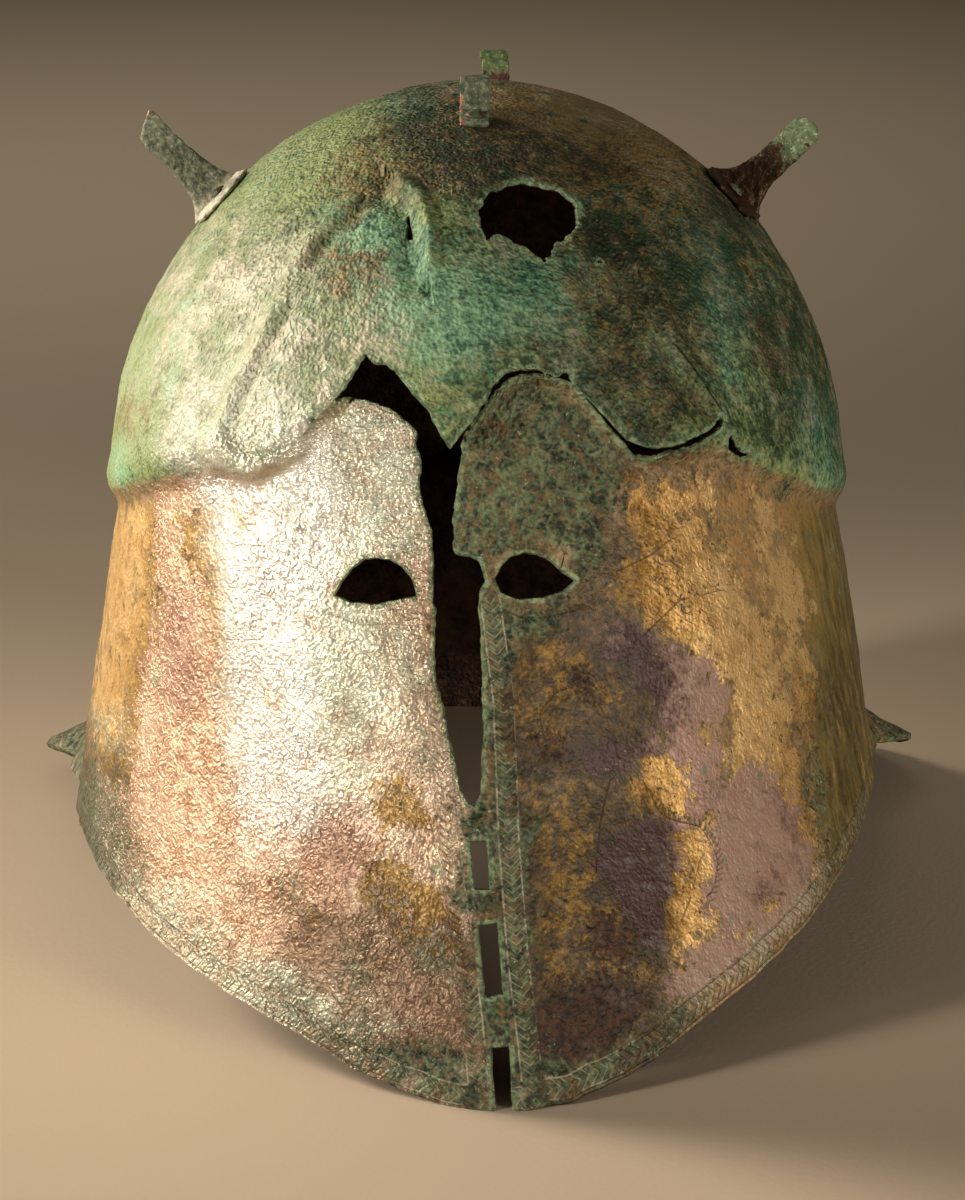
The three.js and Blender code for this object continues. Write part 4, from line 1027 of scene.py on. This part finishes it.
# Metal shows where crust and dirt are thin, and the copper skin is polished on its crinkles.
polish = (foil + dot * 0.3).share(0.0, 0.6)
crusty = (1 - inside * 0.8) * (1 - 0.75 * soil) * (1 - 0.6 * plate)
crusty = crusty * (1 - 0.25 * mint) * (1 - 0.55 * gold * copper)
metal = (0.34 + 0.26 * bare + 0.19 * copper + 0.25 * copper * polish) * (1 - 0.45 * plum) * (1 - 0.7 * shaded)
metal = metal * (1 - 0.75 * dome * (1 - 0.5 * pale)) * crusty
rough = 0.52 - 0.02 * gold - 0.14 * copper - 0.04 * plum + 0.08 * dome * (1 - 0.8 * pale)
rough = (rough + 0.14 * soil + 0.12 * plate + 0.05 * fine - 0.07 * rubbed_highlight).math("MAXIMUM", 0.24)

# Relief in mm: foil crinkles on copper, lumpy crust on green, a faint grain elsewhere, and the incised lines.
smoothed = 1 - 0.7 * gold.math("MAXIMUM", plum)
green = (dome + plate + mint * 0.7).math("MINIMUM", 1)
height = foil * 0.36 * copper * smoothed * (1 - dome) + dot * 0.03 + fine * 0.02 + mid * 0.10
height = height + green * (lump * 0.12 + bead * 0.15 + dot * 0.09 + mid_b * 0.14)
height = height + soil * bead * 0.2 - plum * 0.06
height = height + (1 - green) * (bead * 0.05 + lump * 0.06 + small_b * 0.06) * (0.6 + copper)

across, along, shown = sheet.three("borders")
worn = (mid * 0.5 + small_b * 0.35).share(-0.6, 0.0) * shown.share(0.3, 0.7)
edge_line = (abs(across) - border_half).stroke(0.34, 0.8)
chevron = (along + abs(across) * 0.85).teeth(chevron_step, 5) * 0.8
etched = (edge_line + chevron * (1 - abs(across).share(1.8, 2.05))) * worn
across, along, shown = sheet.three("ticks")
tick = (along + across * 0.5).teeth(tick_step, 3.6) * (1 - abs(across - 0.7).share(0.6, 0.85))
ticked = (tick + across.stroke(0.22)) * shown.share(0.3, 0.7) * (0.25 + 0.5 * (mid + small).share(-0.8, 0.6))
across, along, shown = sheet.three("drawn")
outlined = across.stroke(0.24, 0.9) * shown.share(0.3, 0.7) * (mid_b + small * 0.5).share(-0.7, 0.3)
askew = sheet.node("VectorRotate", {"Vector": sheet.place, "Angle": 0.9}, rotation_type="Y_AXIS")
hatch = (sheet.parts(askew)[0] * hatch_per_metre + mid * 0.35).teeth(1, 5) * of("hatch").share(0.3, 0.8)
grooves = etched + ticked + outlined * 0.6 + hatch * (small + mid * 0.6).share(-0.4, 0.8) * 0.55
grooves = grooves * (1 - inside.share(0.1, 0.4))
across, along, shown = sheet.three("splits")
split = (across + mid * 0.2).stroke(0.24) * shown.share(0.3, 0.7) * (mid_b + small * 0.6).share(-0.9, -0.3)
height = height - grooves * 0.26 - split * 0.5
colour = coated(
    colour,
    ((grooves * 0.38).math("MINIMUM", 0.5), (0.05, 0.045, 0.025)),
    (etched * plate * (small + mid).share(-1.2, 0.4) * 0.85, (0.42, 0.37, 0.25)),
    (split, (0.008, 0.007, 0.006)))
sheet.shader.inputs["Specular IOR Level"].default_value = 0.32
sheet.finish(shell, colour, metal, rough, height)

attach(shell, "root")
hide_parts("helmet_shell")

# Crest clips: two strips of bronze bent up from the crown with their hooks facing each other, to hold the ends of
# a crest base. Each foot is riveted down; both are thick with green crust.
# Sizes in mm; a clip is its name, its place across and along the head, and its rise.
gap, shank_radius, head_radius, head_height, rivet_around = 0.3, 1.2, 2.1, 0.9, 28
clip_width, clip_strip, clip_foot, clip_lean, clip_hook, clip_lip = 6.6, 1.4, 8.0, 1.6, 4.6, 3.4
clip_crust, rivet_crust, strip_rings, strip_around, strip_round = 0.26, 0.1, 84, 56, 0.55
clips = [("crest_clip_front", 1.0, -48.0, 7.8), ("crest_clip_rear", 3.4, 25.0, 9.36)]


def upright(angle, height):
    """Unit normal of the dome at angles and heights: across the slopes round it and up it."""
    here = skin(angle, height)
    out = np.cross(skin(angle + 0.1, height) - here, here - skin(angle, height - 0.1))
    return out / np.linalg.norm(out, axis=-1, keepdims=True)


def seat(angle, height):
    """Origin on the hammered dome and the axes right, up the dome and out, at one angle and height."""
    angle, height = np.array([angle], float), np.array([height], float)
    place, out = skin(angle, height), upright(angle, height)[0]
    right = np.array([np.cos(np.radians(angle[0])), np.sin(np.radians(angle[0])), 0])
    right -= out * (right @ out)
    right /= np.linalg.norm(right)
    return place[0] + out * dents(place, angle, height)[0], right, np.cross(out, right), out


def overhead(across, along):
    """Angle and height of the dome over a spot across and along the head, by halving the height's range."""
    angle, low, high = np.degrees(np.arctan2(across, -along)), 0.0, dome_height
    for _ in range(40):
        middle = (low + high) / 2
        low, high = (middle, high) if reach(angle, middle) > np.hypot(across, along) else (low, middle)
    return angle, low


def turned(rows):
    """Closed skin from rings of points, (ring, column, xyz), with a pole at each end; its faces look out."""
    rings, around = rows.shape[:2]
    points = np.concatenate([rows.reshape(-1, 3), rows[[0, -1]].mean(1)])
    grid = np.arange(rings * around).reshape(rings, around)
    a, b = grid[:-1], np.roll(grid, -1, 1)[:-1]
    c, d = grid[1:], np.roll(grid, -1, 1)[1:]
    first, last = grid[0], grid[-1]
    faces = np.concatenate([np.stack(three, -1).reshape(-1, 3) for three in (
        (a, c, d), (a, d, b), (np.full(around, rings * around), first, np.roll(first, -1)),
        (np.full(around, rings * around + 1), np.roll(last, -1), last))])
    corners = points[faces]
    volume = (corners[:, 0] * np.cross(corners[:, 1], corners[:, 2])).sum()
    return points, faces if volume > 0 else faces[:, ::-1]


def swollen(points, faces, amount, seed):
    """Points pushed along their normals by lumps in three sizes, as crust does."""
    corners = points[faces]
    flat = np.cross(corners[:, 1] - corners[:, 0], corners[:, 2] - corners[:, 0])
    normal = np.zeros_like(points)
    np.add.at(normal, faces.ravel(), np.repeat(flat, 3, 0))
    normal /= np.maximum(np.linalg.norm(normal, axis=1, keepdims=True), 1e-9)
    swell = heaped(points, ((2.9, seed, 1), (1.25, seed + 1, 0.55), (0.7, seed + 2, 0.3)))
    return points + normal * (amount * swell)[:, None]


def rounded(line, times=3):
    """A line of points with its corners cut: each span gives points a quarter and three quarters along it."""
    line = np.array(line, float)
    for _ in range(times):
        cut = np.stack([line[:-1] * 0.75 + line[1:] * 0.25, line[:-1] * 0.25 + line[1:] * 0.75], 1)
        line = np.concatenate([line[:1], cut.reshape(-1, 2), line[-1:]])
    return line


def oblong(turn, wide, deep, squareness):
    """Half width and half depth of a rounded oblong at each turn: the cosine and sine raised to a power below 1
    with their signs kept."""
    cos, sin = np.cos(turn), np.sin(turn)
    return np.sign(cos) * np.abs(cos) ** squareness[0] * wide, np.sign(sin) * np.abs(sin) ** squareness[1] * deep


def strip(line, width, thick, axes):
    """A bent strip: a rounded oblong section carried along a line in the plane of up the dome and out."""
    origin, right, up, out = axes
    length = np.r_[0, np.cumsum(np.linalg.norm(np.diff(line, axis=0), axis=1))]
    at = np.linspace(0, length[-1], strip_rings)
    line = np.stack([np.interp(at, length, line[:, 0]), np.interp(at, length, line[:, 1])], -1)
    way = np.gradient(line, axis=0)
    way /= np.linalg.norm(way, axis=1, keepdims=True)
    end = np.minimum(at, length[-1] - at)
    ease = np.sqrt(1 - np.clip(1 - end / strip_round, 0, 1) ** 2) * 0.98 + 0.02
    turn = np.linspace(0, 2 * np.pi, strip_around, endpoint=False)
    wide, deep = oblong(turn, width / 2, thick / 2, (0.22, 0.45))
    side = wide * (0.9 + 0.1 * ease[:, None])
    lift = deep * ease[:, None]
    return (origin + side[..., None] * right + (line[:, 0, None] - way[:, 1, None] * lift)[..., None] * up
            + (line[:, 1, None] + way[:, 0, None] * lift)[..., None] * out)


def rivet(name, axes, plate, slot, seed):
    """A low hammered rivet: rings of a round profile about the seat's outward axis, from the head over the
    plate, down the shank, to the closed head inside."""
    origin, right, up, out = axes
    head, tail = gap + plate + gap, -sheet_thickness - 2 * gap
    profile = np.array([
        (0.25, head + head_height), (0.8, head + 0.84), (1.35, head + 0.66), (1.8, head + 0.4),
        (head_radius, head + 0.12), (head_radius + 0.02, head), (shank_radius + 0.05, head - 0.02),
        (shank_radius, head - 0.2),
        (shank_radius, tail + 0.2), (shank_radius + 0.05, tail + 0.02), (head_radius + 0.02, tail),
        (head_radius, tail - 0.12), (1.7, tail - 0.45), (1.0, tail - 0.7), (0.3, tail - 0.78)])
    turn = np.linspace(0, 2 * np.pi, rivet_around, endpoint=False)
    ring = np.cos(turn)[:, None] * right + np.sin(turn)[:, None] * up
    points, faces = turned(origin + profile[:, 0, None, None] * ring + profile[:, 1, None, None] * out)
    piece = built(name, stand(swollen(points, faces, rivet_crust, seed)), faces)
    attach(piece, "root")
    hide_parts(slot)
    return piece


clip_pieces, rivet_pieces = [], []
for number, (title, across, along, rise) in enumerate(clips):
    axes = seat(*overhead(across, along))
    top = rise - clip_strip
    line = rounded([(-clip_foot, 0), (-0.6, 0), (0.35, 0.3), (clip_lean, top), (clip_lean + 0.5, top),
                    (clip_lean + clip_hook, top), (clip_lean + clip_hook, rise - clip_lip)])
    points, faces = turned(strip(line + [0, clip_strip / 2 + gap], clip_width, clip_strip, axes))
    points = swollen(points, faces, clip_crust, 31 + 7 * number)
    marks = {"across": (points - axes[0]) @ axes[1], "up": (points - axes[0]) @ axes[3]}
    piece = built(title.replace("crest_clip", "clip_strip"), stand(points), faces, marks)
    clip_pieces.append(piece)
    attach(piece, "root")
    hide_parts(title)
    middle = axes[0] - axes[2] * clip_foot / 2
    name = title.replace("crest_clip", "clip_rivet")
    rivet_pieces.append(rivet(name, (middle, *axes[1:]), clip_strip, title + "_rivet", 51 + number))


def crusted(name, dark, light, pale, rust, rusty):
    """Crust on a small fitting: dark and light green by lumps, pale crumbs, and rust where rusty is high."""
    crust = Finish(name)
    mid, small, fine = crust.grain(3.2, 4, 0.6), crust.grain(1.3, 3, 0.6), crust.grain(0.5, 2)
    rusted = (rusty(crust) + (mid - 0.5) * 1.6 + (small - 0.5) * 0.8).share(0.4, 0.6)
    colour = coated(
        (mid * 0.6 + small * 0.7).blend(0.4, 0.85, dark, light),
        ((small * 0.6 + fine * 0.6).share(0.64, 0.78), pale),
        (rusted, small.blend(0.3, 0.7, [c * 0.45 for c in rust], rust)))
    height = mid * 0.6 + small * 0.5 + fine * 0.15
    return crust, colour, 0.15 + 0.45 * rusted, 0.72 - 0.2 * rusted + 0.2 * (fine - 0.5), height


looks = [("front_clip_crust", (0.035, 0.05, 0.028), (0.17, 0.19, 0.11), (0.30, 0.31, 0.20), (0.42, 0.20, 0.13),
          lambda f: 0.55 - (f.of("across") + 3.4) * 0.22),
         ("rear_clip_crust", (0.03, 0.055, 0.02), (0.16, 0.21, 0.07), (0.33, 0.38, 0.16), (0.10, 0.035, 0.03),
          lambda f: 0.95 - f.of("up") * 0.11)]
for piece, (name, *colours, rusty) in zip(clip_pieces, looks):
    crust, *layers = crusted(name, *colours, rusty)
    crust.finish(piece, *layers, 0.9)

# Plume horns: a flat prong on a foot plate at each side of the dome, cast or cut from one strip and riveted on.
# The wearer's right one has lost its tip; both are crusted, the left one brown at its root. The blade tables give
# half widths as shares; a horn is its name, its side, its turn in degrees, its tip and the slant that cuts it.
horn_foot, horn_front, horn_rear, horn_half_height = 1.4, 13.0, 7.0, 8.4
horn_blade, horn_length, horn_angle, horn_height, horn_half_width = 2.2, 25.0, 76.0, 0.714 * dome_height, 3.7
blade_around, plate_around, blade_crust, plate_crust = 60, 90, 0.3, 0.2
blade_line = [(0.0, 2.35), (0.05, 1.95), (0.12, 1.52), (0.22, 1.25), (0.4, 1.03), (0.6, 0.96), (0.85, 1.0)]
round_tip = [(0.93, 0.93), (0.97, 0.72), (0.99, 0.45), (1.0, 0.08)]
broken_tip = [(0.95, 0.98), (1.0, 0.86)]
horns = [("plume_horn_right", -1, 1.0, broken_tip, 0.07), ("plume_horn_left", 1, -1.0, round_tip, 0.0)]


def horn_prong(axes, turn, tip, slant):
    """The prong: flat rounded sections up its length, as wide as the blade table says, thinning to the tip,
    which a slant cuts off askew."""
    origin, right, up, out = axes
    share = np.r_[np.linspace(0, 0.9, 70), np.linspace(0.905, 1, 22)][:, None]
    half = table(share, blade_line + tip) * horn_half_width
    thick = horn_blade / 2 * (1.25 - 0.35 * smooth(share / 0.35))
    thick = thick * np.sqrt(1 - np.clip((share - 0.965) / 0.036, 0, 1) ** 2 * 0.9)
    wide, deep = oblong(np.linspace(0, 2 * np.pi, blade_around, endpoint=False), half, thick, (0.4, 0.6))
    length = horn_length * (share + slant * wide / horn_half_width * smooth((share - 0.7) / 0.3)) + gap
    tilt = np.radians(turn)
    return (origin + deep[..., None] * right + (wide * np.cos(tilt) + length * np.sin(tilt))[..., None] * up
            + (length * np.cos(tilt) - wide * np.sin(tilt))[..., None] * out)


def horn_plate(side):
    """The foot plate: rings of a rounded oblong on the dome, out over the top to the edge and back beneath."""
    arc = np.degrees(1 / reach(horn_angle, horn_height))
    slope = np.hypot(*upright(np.array([side * horn_angle]), np.array([horn_height]))[0, :2])
    share = np.r_[0.06, np.linspace(0.15, 0.9, 12), 0.96, 1.0, 1.0, 0.97, np.linspace(0.9, 0.1, 5)][:, None]
    lift = np.r_[1.0, np.full(12, 1.0), 0.93, 0.7, 0.3, 0.04, np.zeros(5)][:, None]
    turn = np.linspace(0, 2 * np.pi, plate_around, endpoint=False)
    worn = 1 + 0.05 * np.sin(5 * turn + side) + 0.035 * np.sin(11 * turn) + 0.02 * np.sin(23 * turn + 2)
    across, rise = oblong(turn, worn, worn, (0.62, 0.62))
    middle, half = (horn_rear - horn_front) / 2, (horn_rear + horn_front) / 2 * 0.93
    angle = side * (horn_angle + arc * (middle + half * share * across))
    height = horn_height + horn_half_height * 0.93 * slope * share * rise
    spot = angle.ravel(), height.ravel()
    plain = skin(*spot)
    offset = gap + horn_foot * (lift * (1 - 0.25 * share**3) + 0 * across).ravel() + dents(plain, *spot)
    return (plain + upright(*spot) * offset[:, None]).reshape(*angle.shape, 3)


horn_looks = {
    "plume_horn_right": ("right_prong_crust", (0.06, 0.07, 0.045), (0.34, 0.35, 0.235), (0.50, 0.46, 0.30),
                         (0.45, 0.24, 0.17), lambda f: (f.of("share") - 0.93) * 6),
    "plume_horn_left": ("left_prong_crust", (0.04, 0.055, 0.022), (0.20, 0.25, 0.12), (0.38, 0.43, 0.25),
                        (0.075, 0.036, 0.014), lambda f: 1.25 - f.of("share") * 1.25)}
arc = np.degrees(1 / reach(horn_angle, horn_height))
for number, (title, side, turn, tip, slant) in enumerate(horns):
    axes = seat(side * horn_angle, horn_height)
    prong, prong_faces = turned(horn_prong(axes, turn, tip, slant))
    plate, plate_faces = turned(horn_plate(side))
    share = np.concatenate([(prong - axes[0]) @ axes[3] / horn_length, np.zeros(len(plate))])
    points = np.concatenate([swollen(prong, prong_faces, blade_crust, 61 + 9 * number),
                             swollen(plate, plate_faces, plate_crust, 64 + 9 * number)])
    faces = np.concatenate([prong_faces, plate_faces + len(prong)])
    horn = built(title.replace("plume_horn", "plume_prong"), stand(points), faces, {"share": share})
    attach(horn, "root")
    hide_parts(title)
    name, *colours, rusty = horn_looks[title]
    crust, colour, *layers = crusted(name, *colours, rusty)
    if side < 0:
        cream = crust.grain(1.6, 3).blend(0.35, 0.65, (0.52, 0.49, 0.35), (0.86, 0.78, 0.58))
        colour = ((0.17 - crust.of("share")).share(0, 0.12) * 0.75).over(colour, cream)
    crust.finish(horn, colour, *layers, 0.9)
    for end, reach_of in (("front", -horn_front), ("rear", horn_rear)):
        place = seat(side * (horn_angle + 0.55 * arc * reach_of), horn_height)
        name = title.replace("plume_horn", "prong_rivet")
        rivet_pieces.append(rivet(f"{name}_{end}", place, horn_foot, f"{title}_rivet_{end}", 71 + number))

heads, *layers = crusted("rivet_crust", (0.03, 0.05, 0.025), (0.14, 0.17, 0.09), (0.28, 0.32, 0.18),
                         (0.12, 0.07, 0.035), lambda f: f.grain(5, 1) * 0.8)
for piece in rivet_pieces:
    heads.finish(piece, *layers, 0.8)

# Floor: a wide pale table top, slightly warm, with a faint mottle, under the rim at height 0. It is only for the
# picture and isn't part of the helmet. Its half width is in metres.
table_half = 6.0
corners = np.array([(-1, -1, 0), (1, -1, 0), (1, 1, 0), (-1, 1, 0)]) * table_half
floor = built("floor", corners, np.array([(0, 1, 2), (0, 2, 3)]))
paper = Finish("pale_table")
mottle = paper.grain(400, 2).over((0.58, 0.45, 0.32), (0.62, 0.48, 0.345))
paper.finish(floor, mottle, 0.0, 0.85, paper.grain(1.5, 2), 0.05)

# Lamps: soft square lamps at the viewer's left, further back on the left, at the right, and one behind that
# lights only the floor, with an even dim surround. Each is its place and its target in metres, its size, its
# beam in degrees, its power in watts and its colour.
lamps = [
    ("lamp_left", (-1.22, -0.66, 0.42), (-0.06, -0.06, 0.115), 0.32, 19, 0.44, (1.0, 0.95, 0.87)),
    ("lamp_far_left", (-1.18, 0.47, 0.62), (-0.08, -0.20, 0.0), 0.6, 30, 1.55, (1.0, 0.90, 0.75)),
    ("lamp_right", (1.20, -1.00, 0.22), (0.05, 0.0, 0.05), 0.42, 30, 0.66, (1.0, 0.94, 0.84)),
    ("lamp_behind", (-0.25, 0.80, 1.10), (-0.25, 0.95, 0.0), 0.8, 92, 1.35, (0.97, 0.95, 0.84))]
for title, place, target, size, beam, power, colour in lamps:
    lamp = bpy.data.lights.new(title, "AREA")
    lamp.size, lamp.energy, lamp.color = size, power, colour
    lamp.spread = np.radians(beam)
    holder = bpy.data.objects.new(title, lamp)
    way = np.array(place) - target
    way /= np.linalg.norm(way)
    side = np.cross((0, 0, 1), way)
    side /= np.linalg.norm(side)
    frame_of = np.eye(4)
    frame_of[:3, :3], frame_of[:3, 3] = np.stack([side, np.cross(way, side), way], -1), place
    holder.matrix_world = Matrix(frame_of)
    bpy.context.scene.collection.objects.link(holder)
world = bpy.data.worlds.new("surround")
world.use_nodes = True
surround = world.node_tree.nodes["Background"].inputs
surround["Color"].default_value, surround["Strength"].default_value = (0.86, 0.79, 0.68, 1), 0.07
bpy.context.scene.world = world
bpy.context.scene.view_settings.view_transform = "Standard"

# Camera: level with the worn helmet plus 6 degrees, 2 degrees to the wearer's left, 900 mm away. It stands in the
# frame of the worn helmet, so it leans with it; half the picture's height at the helmet is 147.72 mm.
rise, swing, away, half_view, sensor = np.radians(6.0), np.radians(2.0), 900.0, 147.72, 24.0
back = np.array([np.sin(swing) * np.cos(rise), -np.cos(swing) * np.cos(rise), np.sin(rise)])
right = np.array([np.cos(swing), np.sin(swing), 0.0])
target = np.array([1.1, 0.0, -28.5])
eye, origin = stand([target + back * away])[0], stand([(0, 0, 0)])[0]
axes = [(stand([way])[0] - origin) * 1000 for way in (right, np.cross(back, right), back)]
camera = bpy.data.objects.new("camera", bpy.data.cameras.new("camera"))
camera.data.sensor_fit = "VERTICAL"
camera.data.sensor_height = sensor
camera.data.lens = sensor / 2 / (half_view / away)
seat_of = np.eye(4)
seat_of[:3, :3], seat_of[:3, 3] = np.stack(axes, -1), eye
camera.matrix_world = Matrix(seat_of)
bpy.context.scene.collection.objects.link(camera)
bpy.context.scene.camera = camera
